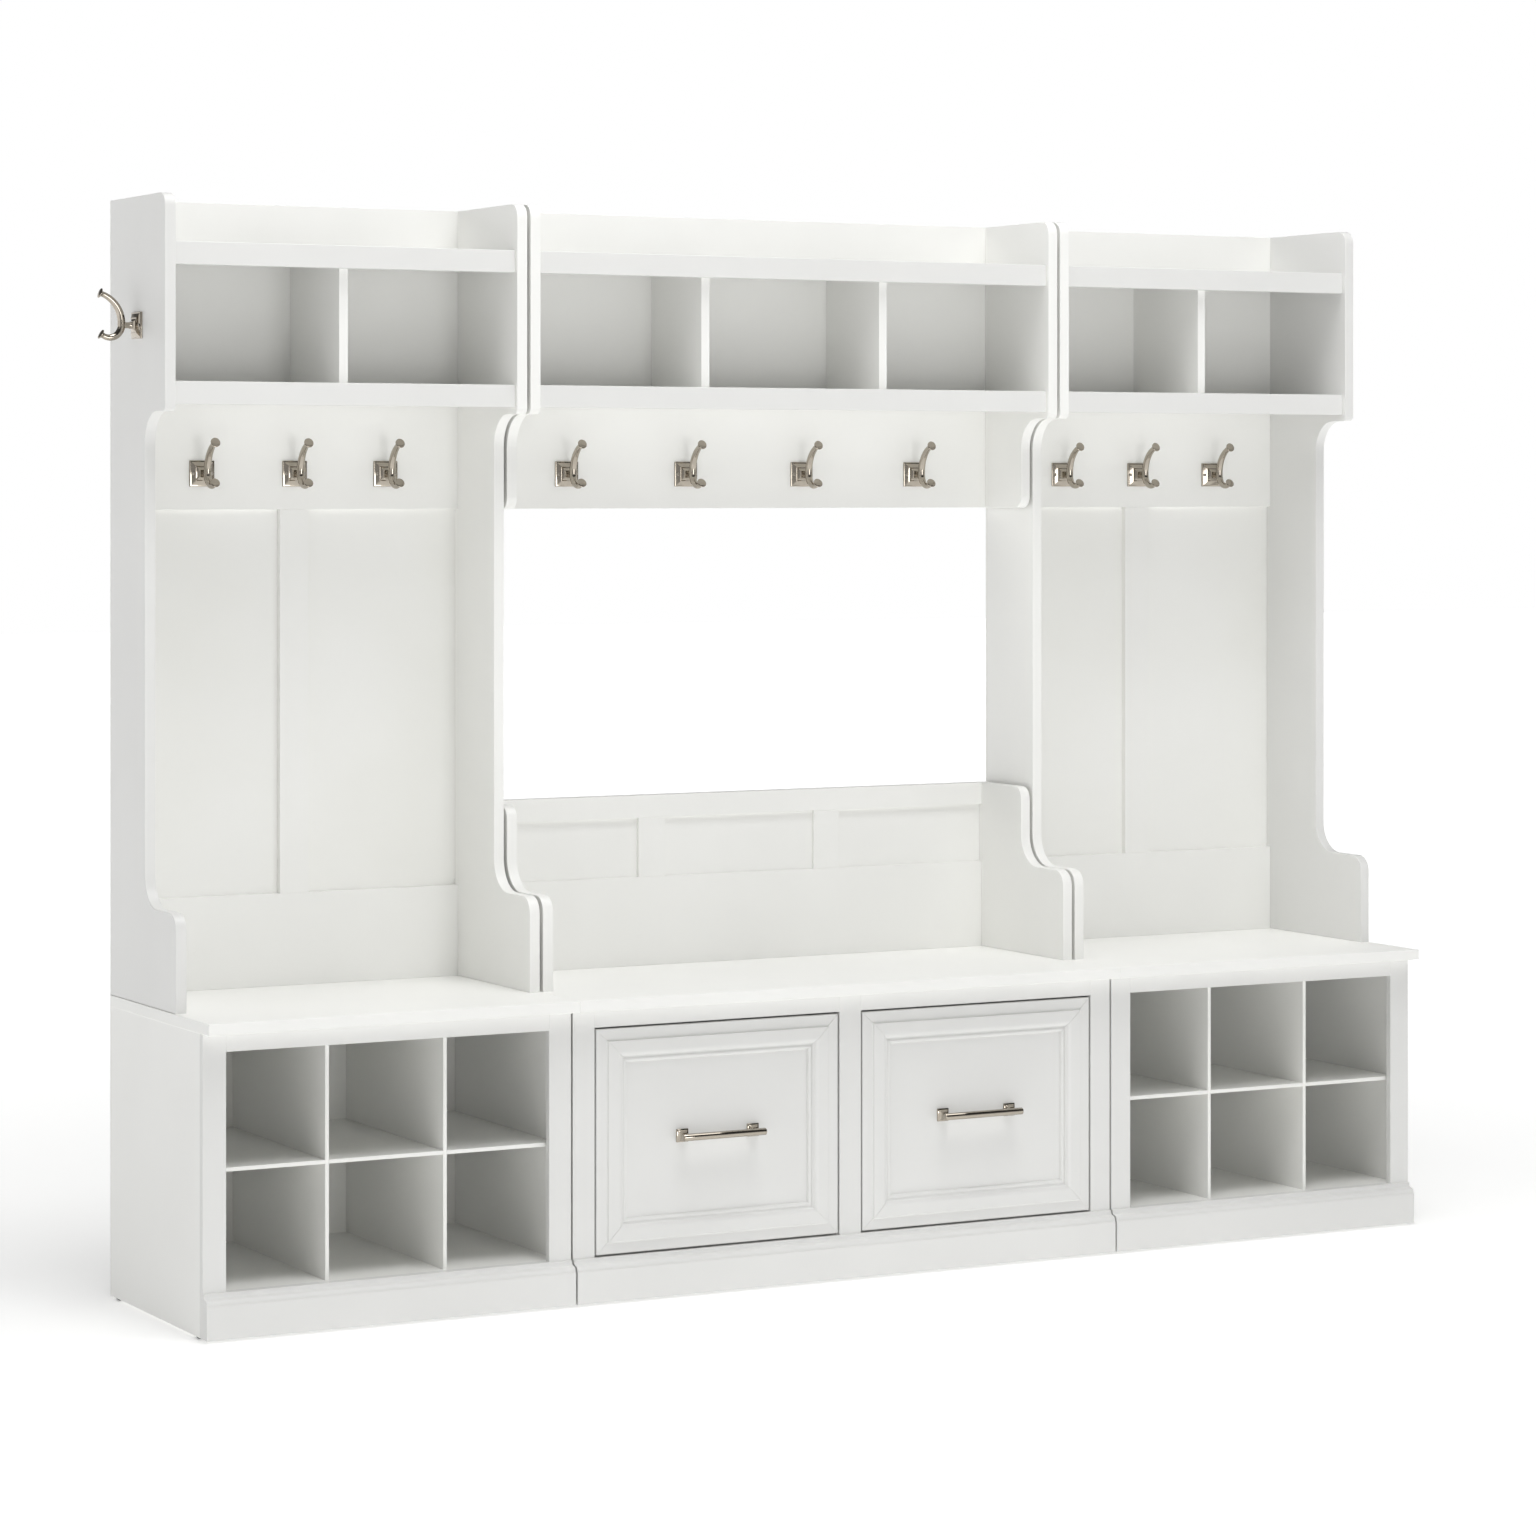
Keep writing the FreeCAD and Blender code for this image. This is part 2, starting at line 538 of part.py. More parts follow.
def channel(name, x, back, high, reach, lift):
    """A drawer slide's C-shaped member; x is the web's outer face, reach is how far the flanges go."""
    opens = 1 if not reach.startswith("-") else -1
    deep = reach.lstrip("-")
    low_x = x if opens > 0 else "%s - (%s)" % (x, deep)
    shell = board(name + "_shell", low_x, deep, back, BOX_DEPTH, "%s - (%s) / 2" % (lift, high), high, None)
    hollow_x = "%s + slide_sheet" % low_x if opens > 0 else "%s - cut_past" % low_x
    hollow = board(name + "_hollow", hollow_x, "(%s) - slide_sheet + cut_past" % deep,
                   "(%s) - cut_past" % back, "%s + 2 * cut_past" % BOX_DEPTH,
                   "%s - (%s) / 2 + slide_sheet" % (lift, high), "(%s) - 2 * slide_sheet" % high, None)
    return cut(name, shell, [hollow])


def pull_screws(side, centre, middle):
    """The shanks and heads of the two machine screws that hold a pull, driven from inside the box."""
    screws = []
    heads = []
    inner = "%s - %s + box_board" % (REAR, FRONT_REAR)
    for number, sign in enumerate(("-", "+")):
        x = "%s %s pull_pitch / 2" % (centre, sign)
        screws.append(rod("%s_pull_screw_%d" % (side, number), "pull_screw",
                          "box_board + panel_face + pull_thread", x, inner, middle, (0, -1, 0)))
        heads.append(rod("%s_pull_screw_head_%d" % (side, number), "pull_screw_head", "pull_screw_cap",
                         x, inner, middle, (0, 1, 0)))
    return screws, heads


def drawer_panel(side, centre, screws):
    """The flat panel held in the front's frame; returns the pad between the panel and the box."""
    wide = "(%s - 2 * drawer_gap)" % BAY
    low = "(%s + drawer_gap)" % FLOOR_TOP
    tall = "(%s - 2 * drawer_gap)" % OPENING_HEIGHT
    inset = "(front_member - panel_tongue)"
    panel = board("%s_front_skin" % side, "%s - %s / 2 + %s" % (centre, wide, inset),
                  "%s - 2 * %s" % (wide, inset), "%s + panel_face - panel_skin" % FRONT_REAR, "panel_skin",
                  "%s + %s" % (low, inset), "%s - 2 * %s" % (tall, inset), None)
    pad = board("%s_front_pad" % side, "%s - %s / 2 + front_member" % (centre, wide),
                "%s - 2 * front_member" % wide, FRONT_REAR, "panel_face - panel_skin",
                "%s + front_member" % low, "%s - 2 * front_member" % tall, None)
    publish(cut("%s_panel_drilled" % side, panel, screws), "%s_drawer_front_panel" % side)
    return cut("%s_pad_drilled" % side, pad, screws)


def drawer_box(side, centre, pad, screws):
    """Four boards grooved round a thin bottom sheet, with the pad that packs out the front panel."""
    wide = "(%s - 2 * slide_space)" % BAY
    x = "%s - %s / 2" % (centre, wide)
    z = "(%s + box_lift)" % FLOOR_TOP
    back = "(%s - %s)" % (FRONT_REAR, BOX_DEPTH)
    bottom = board("%s_bottom_sheet" % side, "%s + box_board - groove" % x,
                   "%s - 2 * box_board + 2 * groove" % wide, "%s + box_board - groove" % back,
                   "%s - 2 * box_board + 2 * groove" % BOX_DEPTH, "%s + bottom_lift" % z,
                   "box_bottom", None)
    boards = [pad]
    for number, low_x in enumerate((x, "%s + %s - box_board" % (x, wide))):
        blank = board("%s_box_side_%d" % (side, number), low_x, "box_board", back, BOX_DEPTH,
                      z, BOX_HEIGHT, "thin_round")
        boards.append(cut("%s_box_side_%d_grooved" % (side, number), blank, [bottom]))
    for end, behind, tools in (("rear", back, [bottom]),
                               ("front", "%s - box_board" % FRONT_REAR, [bottom] + screws)):
        blank = board("%s_box_%s" % (side, end), "%s + box_board" % x, "%s - 2 * box_board" % wide,
                      behind, "box_board", z, BOX_HEIGHT, "thin_round")
        boards.append(cut("%s_box_%s_grooved" % (side, end), blank, tools))
    group("%s_drawer_box" % side, boards)
    publish(bottom, "%s_drawer_bottom" % side)


def drawer_slides(side, centre):
    """The slide members on both sides of a drawer; returns the ones fixed to the bench."""
    runners = []
    middles = []
    cabinet = []
    lift = "%s + slide_lift" % FLOOR_TOP
    back = "(%s - %s)" % (FRONT_REAR, BOX_DEPTH)
    middle_high = "slide_height - 2 * slide_sheet - 2 * ball_gap"
    inner_high = "slide_height - 4 * slide_sheet - 4 * ball_gap"
    for hand, sign, away, lead, back_lead in (("a", "-", "+", "", "-"), ("b", "+", "-", "-", "")):
        wall = "%s %s %s / 2" % (centre, sign, BAY)
        cabinet.append(channel("%s_cabinet_member_%s" % (side, hand), wall, back, "slide_height",
                               lead + "(slide_space - 2 * slide_sheet)", lift))
        middles.append(channel("%s_middle_member_%s" % (side, hand),
                               "%s %s (slide_sheet + slide_float)" % (wall, away), back, middle_high,
                               lead + "(slide_space - 3 * slide_sheet - slide_float)", lift))
        runners.append(channel("%s_runner_%s" % (side, hand), "%s %s slide_space" % (wall, away), back,
                               inner_high, back_lead + "(slide_space - 2 * slide_sheet - 2 * slide_float)",
                               lift))
    group("%s_drawer_runners" % side, runners)
    group("%s_slide_middle_members" % side, middles)
    return cabinet


def drawer(side):
    """A whole drawer: front, box, pull and the slide members that travel."""
    centre = BAY_CENTRE if side == "right" else "-" + BAY_CENTRE
    middle = "(%s + %s) / 2" % (OPEN_TOP, FLOOR_TOP)
    screws, heads = pull_screws(side, centre, middle)
    drawer_front_frame(side)
    pad = drawer_panel(side, centre, screws)
    drawer_box(side, centre, pad, screws)
    drawer_pull(side, centre, middle, screws, heads)
    return drawer_slides(side, centre)


def square(x, reach, out):
    """A square loop in front of a mounting face, reach is half its side."""
    corners = [FreeCAD.Vector(x + across * reach, -out, up * reach) for across, up in
               ((-1, -1), (1, -1), (1, 1), (-1, 1), (-1, -1))]
    return Part.makePolygon(corners)


def drawer_pull(side, centre, middle, screws, heads):
    """A round bar on two square stepped bases, with the two machine screws that hold it."""
    face = size("%s - %s + front_back - panel_face" % (REAR, FRAME_FACE))
    stand = size("pull_stand")
    posts = []
    for sign in (-1, 1):
        x = sign * size("pull_pitch") / 2
        half = size("pull_base") / 2
        step = size("pull_step") / 2
        peak = size("pull_peak") / 2
        thick = size("pull_base_thick")
        rise = size("pull_rise")
        base = Part.makeBox(2 * half, thick, 2 * half, FreeCAD.Vector(x - half, -thick, -half))
        squares = []
        middle_reach = (step + peak) / 2 - size("pull_dish")
        for reach, out in ((step, thick), (middle_reach, thick + rise / 2), (peak, thick + rise)):
            squares.append(square(x, reach, out))
        peak_solid = Part.makeLoft(squares, True, True)
        post = Part.makeCylinder(size("pull_post") / 2, stand - thick, FreeCAD.Vector(x, -thick, 0),
                                 FreeCAD.Vector(0, -1, 0))
        posts.append(base.fuse([peak_solid, post]))
    length = size("pull_pitch + pull_post")
    bar = Part.makeCylinder(size("pull_bar") / 2, length, FreeCAD.Vector(-length / 2, -stand, 0),
                            FreeCAD.Vector(1, 0, 0))
    rims = [edge for edge in bar.Edges if edge.Curve.TypeId == "Part::GeomCircle"]
    bar = bar.makeFillet(size("pull_round"), rims)
    posts = [post.cut(bar) for post in posts]
    bores = [Part.makeCylinder(size("pull_screw") / 2, size("pull_thread"),
                               FreeCAD.Vector(sign * size("pull_pitch") / 2, 0, 0), FreeCAD.Vector(0, -1, 0))
             for sign in (-1, 1)]
    posts = [post.cut(bore) for post, bore in zip(posts, bores)]
    handle = doc.addObject("Part::Feature", "%s_pull_casting" % side)
    handle.Shape = Part.makeCompound(posts + [bar])
    spot = FreeCAD.Vector(size(centre), face, size(middle))
    handle.Placement = FreeCAD.Placement(spot, FreeCAD.Rotation())
    pins = [doc.addObject("Part::Fuse", "%s_pull_bolt_%d" % (side, number)) for number in range(2)]
    for pin, shank, head in zip(pins, screws, heads):
        pin.Base = shank
        pin.Tool = head
    group("%s_drawer_pull" % side, [handle] + pins)


cabinet_members = []
for side in ("left", "right"):
    cabinet_members += drawer(side)
group("slide_cabinet_members", cabinet_members)


# ---------------------------------------------------------------- coat hooks
def hook_shape():
    """A double coat hook: bevelled square plate, short neck and one bent arm with flared ends."""
    vec = FreeCAD.Vector
    half = size("plate_size") / 2
    thick = size("plate_thick")
    out = size("plate_thick + bevel_rise")
    plate = Part.makeBox(2 * half, thick, 2 * half, vec(-half, -thick, -half))
    front_edges = [edge for edge in plate.Edges if all(v.Y < -thick / 2 for v in edge.Vertexes)]
    plate = plate.makeFillet(size("plate_round"), front_edges)
    bevel = Part.makeLoft([square(0, size("bevel_base") / 2, thick), square(0, size("bevel_top") / 2, out)],
                          True, True)
    base = size("pyramid_base") / 2
    neck = size("neck_size") / 2
    tall = size("pyramid_rise")
    dish = neck + size("pyramid_dish_in") * (base - neck)
    dish_level = out + size("pyramid_dish_up") * tall
    squares = [square(0, base, out), square(0, dish, dish_level), square(0, neck, out + tall)]
    pyramid = Part.makeLoft(squares, True, True)
    reach = size("arm_reach")
    stem_start = out + tall - size("stem_sink")
    stem = Part.makeCylinder(size("stem_dia") / 2, reach - stem_start, vec(0, -stem_start, 0), vec(0, -1, 0))
    radius = size("arm_dia") / 2
    big = size("arm_round")
    small = size("crook_round")
    rise_z = size("arm_straight")
    upper = vec(0, -(reach + big), rise_z)
    lower = vec(0, -(reach + small), 0)
    up = math.radians(size("arm_turn"))
    down = math.radians(size("crook_turn"))

    def on_upper(angle):
        return upper + vec(0, big * math.cos(angle), big * math.sin(angle))

    def on_lower(angle):
        return lower + vec(0, small * math.cos(angle), -small * math.sin(angle))

    upper_arc = Part.Arc(on_upper(up), on_upper(up / 2), on_upper(0)).toShape()
    straight = Part.LineSegment(on_upper(0), on_lower(0)).toShape()
    lower_arc = Part.Arc(on_lower(0), on_lower(down / 2), on_lower(down)).toShape()
    path = Part.Wire([upper_arc, straight, lower_arc])
    tip_up = vec(0, -math.sin(up), math.cos(up))
    tip_down = vec(0, -math.sin(down), -math.cos(down))
    ring = Part.Wire(Part.makeCircle(radius, on_upper(up), tip_up))
    arm = Part.Wire(path).makePipeShell([ring], True, True)
    flare = size("flare_length")
    sink = size("flare_sink")
    parts = [bevel, pyramid, stem, arm]
    for end, way in ((on_upper(up), tip_up), (on_lower(down), tip_down)):
        parts.append(Part.makeCone(size("flare_root") / 2, size("flare_mouth") / 2, flare,
                                   end - way * sink, way))
        parts.append(Part.makeCylinder(size("tip_dia") / 2, size("tip_thick"),
                                       end + way * (flare - sink), way))
    hook = plate.fuse(parts).removeSplitter()
    spread = size("screw_spread") / 2
    for sign in (-1, 1):
        for dia, level in (("screw_dia", 0), ("screw_head", size("plate_thick + seat_lift"))):
            drill = Part.makeCylinder(size(dia) / 2, reach, vec(sign * spread, -level, 0), vec(0, -1, 0))
            hook = hook.cut(drill)
    return hook


def hook_screw_shape(sign):
    """A round-headed wood screw, its head in the plate's bevel and its shank in the board."""
    vec = FreeCAD.Vector
    out = size("plate_thick + seat_lift")
    x = sign * size("screw_spread") / 2
    grip = size("screw_grip")
    shank = Part.makeCylinder(size("screw_dia") / 2, out + grip, vec(x, grip, 0), vec(0, -1, 0))
    blank = Part.makeCylinder(size("screw_head") / 2, size("screw_dome"), vec(x, -out, 0), vec(0, -1, 0))
    head = blank.common(Part.makeSphere(size("screw_head") / 2, vec(x, -out, 0)))
    return shank.fuse(head)


def hook_places():
    """Where each hook's plate meets its board: a corner, and the turn about the vertical."""
    face = "%s - panel_thick" % REAR
    spots = []
    for sign in (-1, 1):
        for step in (-1, 0, 1):
            x = sign * size(SHOE_CENTRE) + step * size("hook_pitch")
            spots.append(("tower", x, size(face), size("hook_height"), 0))
        spots.append(("side", sign * size("%s - top_side_lap" % HALF), size("%s - side_hook_depth" % REAR),
                      size("side_hook_height"), 90 * sign))
    for step in (-1.5, -0.5, 0.5, 1.5):
        y = size("%s - bridge_back_inset - bridge_panel" % REAR)
        spots.append(("bridge", step * size("bridge_hook_pitch"), y, size("hook_height"), 0))
    return spots


def placed(shape, spot):
    """A copy of a hook's shape at one of its places."""
    copy = shape.copy()
    copy.Placement = FreeCAD.Placement(FreeCAD.Vector(*spot[1:4]),
                                       FreeCAD.Rotation(FreeCAD.Vector(0, 0, 1), spot[4]))
    return copy


hook = hook_shape()
hook_screws = [hook_screw_shape(sign) for sign in (-1, 1)]
spots = hook_places()
coat_hooks = doc.addObject("Part::Feature", "coat_hooks")
coat_hooks.Shape = Part.makeCompound([placed(hook, spot) for spot in spots])
publish(coat_hooks, "coat_hooks")
screw_row = doc.addObject("Part::Feature", "hook_screws")
screw_row.Shape = Part.makeCompound([placed(screw, spot) for spot in spots for screw in hook_screws])
publish(screw_row, "hook_screws")


# ---------------------------------------------------------------- towers and bridge
def shelf_unit(label, x, wide, panel, top):
    """A shelf board with the taller strip that faces it."""
    shelf = board(label + "_board", x, wide, panel, "%s - apron_thick - (%s)" % (APRON_FACE, panel),
                  "%s - shelf_board" % top, "shelf_board", None)
    strip = board(label + "_apron", x, wide, "%s - apron_thick" % APRON_FACE, "apron_thick",
                  "%s - apron_height" % top, "apron_height")
    return group(label, [shelf, strip])


def divider(name, centre, panel):
    """An upright between two overhead cubbies."""
    return board(name, "%s - divider_board / 2" % centre, "divider_board", panel,
                 "%s - apron_thick - (%s)" % (APRON_FACE, panel), "cubby_shelf",
                 "top_shelf - shelf_board - cubby_shelf", "thin_round")


def wall_holes(name, centre):
    """The two screw holes that fix a unit to the wall."""
    through = "bridge_back_inset + bridge_panel + 4 * cut_past"
    return [rod("%s_wall_hole_%d" % (name, number), "wall_hole", through,
                "%s %s wall_hole_spread / 2" % (centre, sign), "%s + 2 * cut_past" % REAR,
                "full_height - wall_hole_drop", (0, -1, 0))
            for number, sign in enumerate(("-", "+"))]


over = "over_depth"
narrow = "narrow_depth"
ledge = "(ledge_height - bench_height)"
neck = "(over_bottom - bench_height)"
crown = "(full_height - bench_height)"
tower_corners = [("0", "0"), ("foot_depth", "0"), ("foot_depth", ledge), (narrow, ledge), (narrow, neck),
                 (over, neck), (over, crown), ("0", crown)]
tower_curves = [(2, "foot_round"), (3, "sweep_round"), (4, "sweep_round"), (5, "nose_round"),
                (6, "crown_round")]
tail = "(over_bottom - panel_bottom)"
bridge_crown = "(full_height - panel_bottom)"
bridge_corners = [("0", "0"), (narrow, "0"), (narrow, tail), (over, tail), (over, bridge_crown),
                  ("0", bridge_crown)]
bridge_curves = [(1, "tail_round"), (2, "sweep_round"), (3, "nose_round"), (4, "crown_round")]
low_crown = "(back_top - bench_height)"
low_corners = [("0", "0"), ("foot_depth", "0"), ("foot_depth", ledge), (narrow, ledge), (narrow, low_crown),
               ("0", low_crown)]
low_curves = [(2, "foot_round"), (3, "sweep_round"), (4, "crown_round")]

dividers = []
for side in ("left", "right"):
    outer = "-%s + top_side_lap" % HALF
    inner = "%s + %s - side_board" % (outer, CARCASS)
    inside = "%s + side_board" % outer
    clear = "(%s - 2 * side_board)" % CARCASS
    tower = side + "_tower_"
    centre = ("-" if side == "left" else "") + SHOE_CENTRE
    for part, x in (("outer_side", outer), ("inner_side", inner)):
        panel = side_panel(tower + part + "_body", sided(side, x, "side_board"), "bench_height",
                           tower_corners, tower_curves)
        publish(cut(tower + part, panel, [screw_row if part == "outer_side" else shank_row]), tower + part)
    low_x = sided(side, inside, clear)
    upper = board(tower + "upper", low_x, clear, "0", "panel_thick", "panel_bottom",
                  "full_height - panel_bottom", "thin_round")
    holes = wall_holes(tower, centre)
    publish(cut(tower + "upper_drilled", upper, [screw_row] + holes), tower + "upper_back_panel")
    low_rail = board(tower + "low_rail", low_x, clear, "0", "panel_thick", "bench_height",
                     "low_rail_top - bench_height", "thin_round")
    batten = board(tower + "batten", "%s - batten_width / 2" % centre, "batten_width", "0", "panel_thick",
                   "low_rail_top", "panel_bottom - low_rail_top", "thin_round")
    group(tower + "rail_and_batten", [low_rail, batten])
    backing = board(tower + "backing", sided(side, outer, CARCASS), CARCASS, "-back_board", "back_board",
                    "bench_height", "full_height - bench_height", None)
    publish(cut(tower + "backing_drilled", backing, holes), tower + "back_board")
    shelf_unit(tower + "top_shelf", low_x, clear, "panel_thick", "top_shelf")
    shelf_unit(tower + "cubby_floor", low_x, clear, "panel_thick", "cubby_shelf")
    dividers.append(divider(tower + "divider", centre, "panel_thick"))

bridge_x = "-%s / 2" % BRIDGE
bridge_sides = []
low_sides = []
for side in ("left", "right"):
    x = sided(side, bridge_x, "side_board")
    bridge_side = side_panel("bridge_side_" + side, x, "panel_bottom", bridge_corners, bridge_curves)
    bridge_sides.append(cut("bridge_side_%s_drilled" % side, bridge_side, [shank_row]))
    low_sides.append(side_panel("low_side_" + side, x, "bench_height", low_corners, low_curves))
group("bridge_sides", bridge_sides)
group("bench_back_sides", low_sides)
bridge_in = "%s + side_board" % bridge_x
bridge_clear = "(%s - 2 * side_board)" % BRIDGE
bridge_face = "(bridge_back_inset + bridge_panel)"
upper = board("bridge_upper", bridge_in, bridge_clear, "bridge_back_inset", "bridge_panel", "panel_bottom",
              "full_height - panel_bottom", "thin_round")
publish(cut("bridge_upper_drilled", upper, [screw_row] + wall_holes("bridge", "0")), "bridge_back_panel")
shelf_unit("bridge_top_shelf", bridge_in, bridge_clear, bridge_face, "top_shelf")
shelf_unit("bridge_cubby_floor", bridge_in, bridge_clear, bridge_face, "cubby_shelf")
for sign in ("-", "+"):
    dividers.append(divider("bridge_divider_%s" % ("left" if sign == "-" else "right"),
                            "0 %s bridge_pitch / 2" % sign, bridge_face))
group("cubby_dividers", dividers)

trim = []
trim.append(board("low_panel_board", bridge_in, bridge_clear, "0", "low_panel", "bench_height",
                  "back_top - bench_height", "thin_round"))
trim.append(board("low_panel_rail", bridge_in, bridge_clear, "low_panel", "low_trim", "bench_height",
                  "low_rail_top - bench_height", "thin_round"))
trim.append(board("low_panel_cap", bridge_in, bridge_clear, "low_panel", "low_trim",
                  "back_top - low_top_rail", "low_top_rail", "thin_round"))
for number, sign in enumerate(("-", "+")):
    trim.append(board("low_panel_batten_%d" % number, "0 %s bridge_pitch / 2 - batten_width / 2" % sign,
                      "batten_width", "low_panel", "low_trim", "low_rail_top",
                      "back_top - low_top_rail - low_rail_top", "thin_round"))
group("bench_back_panel", trim)

# ---------------------------------------------------------------- check and write
doc.recompute()
faults = [item.Name for item in doc.Objects if "Invalid" in item.State or "Error" in item.State]
for node in nodes:
    if node.Shape.isNull() or not node.Shape.isValid() or not node.Shape.Solids:
        faults.append(node.Label)
if faults:
    raise RuntimeError("these objects failed: " + ", ".join(faults))
os.makedirs("parts", exist_ok=True)
for node in nodes:
    node.Shape.exportStep("parts/%s.step" % node.Label)
print(len(nodes), "nodes,", sum(len(node.Shape.Solids) for node in nodes), "solids")
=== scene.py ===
"""Hall tree with hooks: finishes, cast hooks, drawer pulls and a plain studio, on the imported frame."""

import json
import logging
import math
from dataclasses import dataclass
from enum import Enum

import bmesh
import bpy
from mathutils import Matrix, Vector

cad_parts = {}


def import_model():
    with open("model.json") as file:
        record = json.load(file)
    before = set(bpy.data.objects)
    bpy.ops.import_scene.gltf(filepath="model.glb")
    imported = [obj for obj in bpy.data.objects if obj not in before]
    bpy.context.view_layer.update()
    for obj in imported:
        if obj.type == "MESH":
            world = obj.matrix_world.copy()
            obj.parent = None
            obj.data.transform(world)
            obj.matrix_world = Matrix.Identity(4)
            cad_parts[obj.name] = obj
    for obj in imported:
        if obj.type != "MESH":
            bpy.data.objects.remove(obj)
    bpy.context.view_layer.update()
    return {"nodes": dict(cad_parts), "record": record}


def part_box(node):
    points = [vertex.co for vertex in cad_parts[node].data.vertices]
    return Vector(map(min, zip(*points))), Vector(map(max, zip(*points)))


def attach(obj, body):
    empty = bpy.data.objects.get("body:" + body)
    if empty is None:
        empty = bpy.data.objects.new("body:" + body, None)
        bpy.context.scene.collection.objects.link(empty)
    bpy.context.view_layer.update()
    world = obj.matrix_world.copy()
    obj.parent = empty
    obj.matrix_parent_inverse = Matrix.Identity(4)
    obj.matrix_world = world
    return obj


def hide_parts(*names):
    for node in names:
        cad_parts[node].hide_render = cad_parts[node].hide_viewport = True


log = logging.getLogger("hall_tree")
MM = 0.001
SHARP_ANGLE = 38.0
ROUND_SIDES = 36
SCREW_SIDES = 24
CORNER_STEPS = 4
WELD = 0.01 * MM
OUTWARD = Vector((0, -1, 0))
SIDEWAYS = Vector((1, 0, 0))
UPWARD = Vector((0, 0, 1))
# The middle of a rounded edge lies this share of its radius in from each of its faces.
ROUND_MIDDLE = 0.3


class Slot(Enum):
    """The record's material slots, by the finish each one takes."""

    PAINT = "white_painted_wood"
    HARDBOARD = "white_hardboard"
    THIN_BOARD = "white_thin_board"
    INNER_BOARD = "white_inner_board"
    NICKEL = "satin_nickel"
    SCREW = "nickel_screws"
    FASTENER = "zinc_fasteners"
    SLIDE = "zinc_slides"
    GLIDE = "black_plastic"


class Facing(Enum):
    """Which way a hook or a pull stands out from its board, as a turn about the vertical."""

    FRONT = 0.0
    RIGHT = 90.0
    LEFT = -90.0


# ---------------------------------------------------------------- colour and node helpers
def linear(hex_colour: str) -> tuple[float, float, float, float]:
    """Turn an sRGB hex value into the linear colour that shaders use.

    Args:
        hex_colour: Six hex digits, such as "f2f1ee".

    Returns:
        Red, green, blue and an alpha of one.
    """
    parts = [int(hex_colour[i : i + 2], 16) / 255 for i in (0, 2, 4)]
    rgb = [c / 12.92 if c <= 0.04045 else ((c + 0.055) / 1.055) ** 2.4 for c in parts]
    return (rgb[0], rgb[1], rgb[2], 1.0)


def add_node(tree: bpy.types.NodeTree, kind: str, settings: dict | None = None,
             links: dict | None = None) -> bpy.types.Node:
    """Add one shader node with its settings and links.

    Args:
        tree: The material's node tree.
        kind: Blender's node type name.
        settings: Input sockets with values, and node properties with values.
        links: Input sockets with the output socket that feeds each. A socket goes by its name, or by its
            number where the node's names repeat.

    Returns:
        The new node.
    """
    node = tree.nodes.new(kind)
    for name, value in (settings or {}).items():
        if isinstance(name, int) or name in node.inputs:
            node.inputs[name].default_value = value
        else:
            setattr(node, name, value)
    for name, source in (links or {}).items():
        tree.links.new(source, node.inputs[name])
    return node


def new_material(name: str) -> tuple[bpy.types.Material, bpy.types.NodeTree]:
    """Start an empty node material and give it back with its node tree."""
    material = bpy.data.materials.new(name)
    material.use_nodes = True
    material.node_tree.nodes.clear()
    return material, material.node_tree


# ---------------------------------------------------------------- finishes
@dataclass(frozen=True)
class SprayedPaint:
    """Satin white skin of a board, sprayed or pressed on: an even white with a fine orange peel."""

    name: str
    light: str
    dark: str
    roughness: float = 0.42
    gloss_spread: float = 0.05
    # Real orange peel on such boards is about 1 mm across; it is drawn coarser, so that it shows.
    peel_mm: float = 2.2
    peel_depth_mm: float = 0.03
    peel_strength: float = 0.6
    cloud_mm: float = 260.0
    cloud_low: float = 0.35
    cloud_high: float = 0.65
    ior: float = 1.5

    def make(self) -> bpy.types.Material:
        """Build the paint: the peel dulls its highlights, and slow clouds keep big faces alive.

        Returns:
            The finished material.
        """
        material, tree = new_material(self.name)
        place = add_node(tree, "ShaderNodeTexCoord").outputs["Object"]
        cloud = add_node(tree, "ShaderNodeTexNoise", {"Scale": 1 / (self.cloud_mm * MM), "Detail": 2.0},
                         {"Vector": place})
        ramp = add_node(tree, "ShaderNodeValToRGB", links={"Fac": cloud.outputs["Fac"]})
        stops = ((self.cloud_low, self.dark), (self.cloud_high, self.light))
        for element, (position, colour) in zip(ramp.color_ramp.elements, stops):
            element.position = position
            element.color = linear(colour)
        peel = add_node(tree, "ShaderNodeTexNoise", {"Scale": 1 / (self.peel_mm * MM), "Detail": 3.0},
                        {"Vector": place})
        bump = add_node(tree, "ShaderNodeBump",
                        {"Strength": self.peel_strength, "Distance": self.peel_depth_mm * MM},
                        {"Height": peel.outputs["Fac"]})
        gloss = add_node(tree, "ShaderNodeMapRange",
                         {"To Min": self.roughness - self.gloss_spread,
                          "To Max": self.roughness + self.gloss_spread},
                         {"Value": peel.outputs["Fac"]})
        shader = add_node(tree, "ShaderNodeBsdfPrincipled", {"IOR": self.ior},
                          {"Base Color": ramp.outputs["Color"], "Roughness": gloss.outputs["Result"],
                           "Normal": bump.outputs["Normal"]})
        add_node(tree, "ShaderNodeOutputMaterial", links={"Surface": shader.outputs["BSDF"]})
        return material


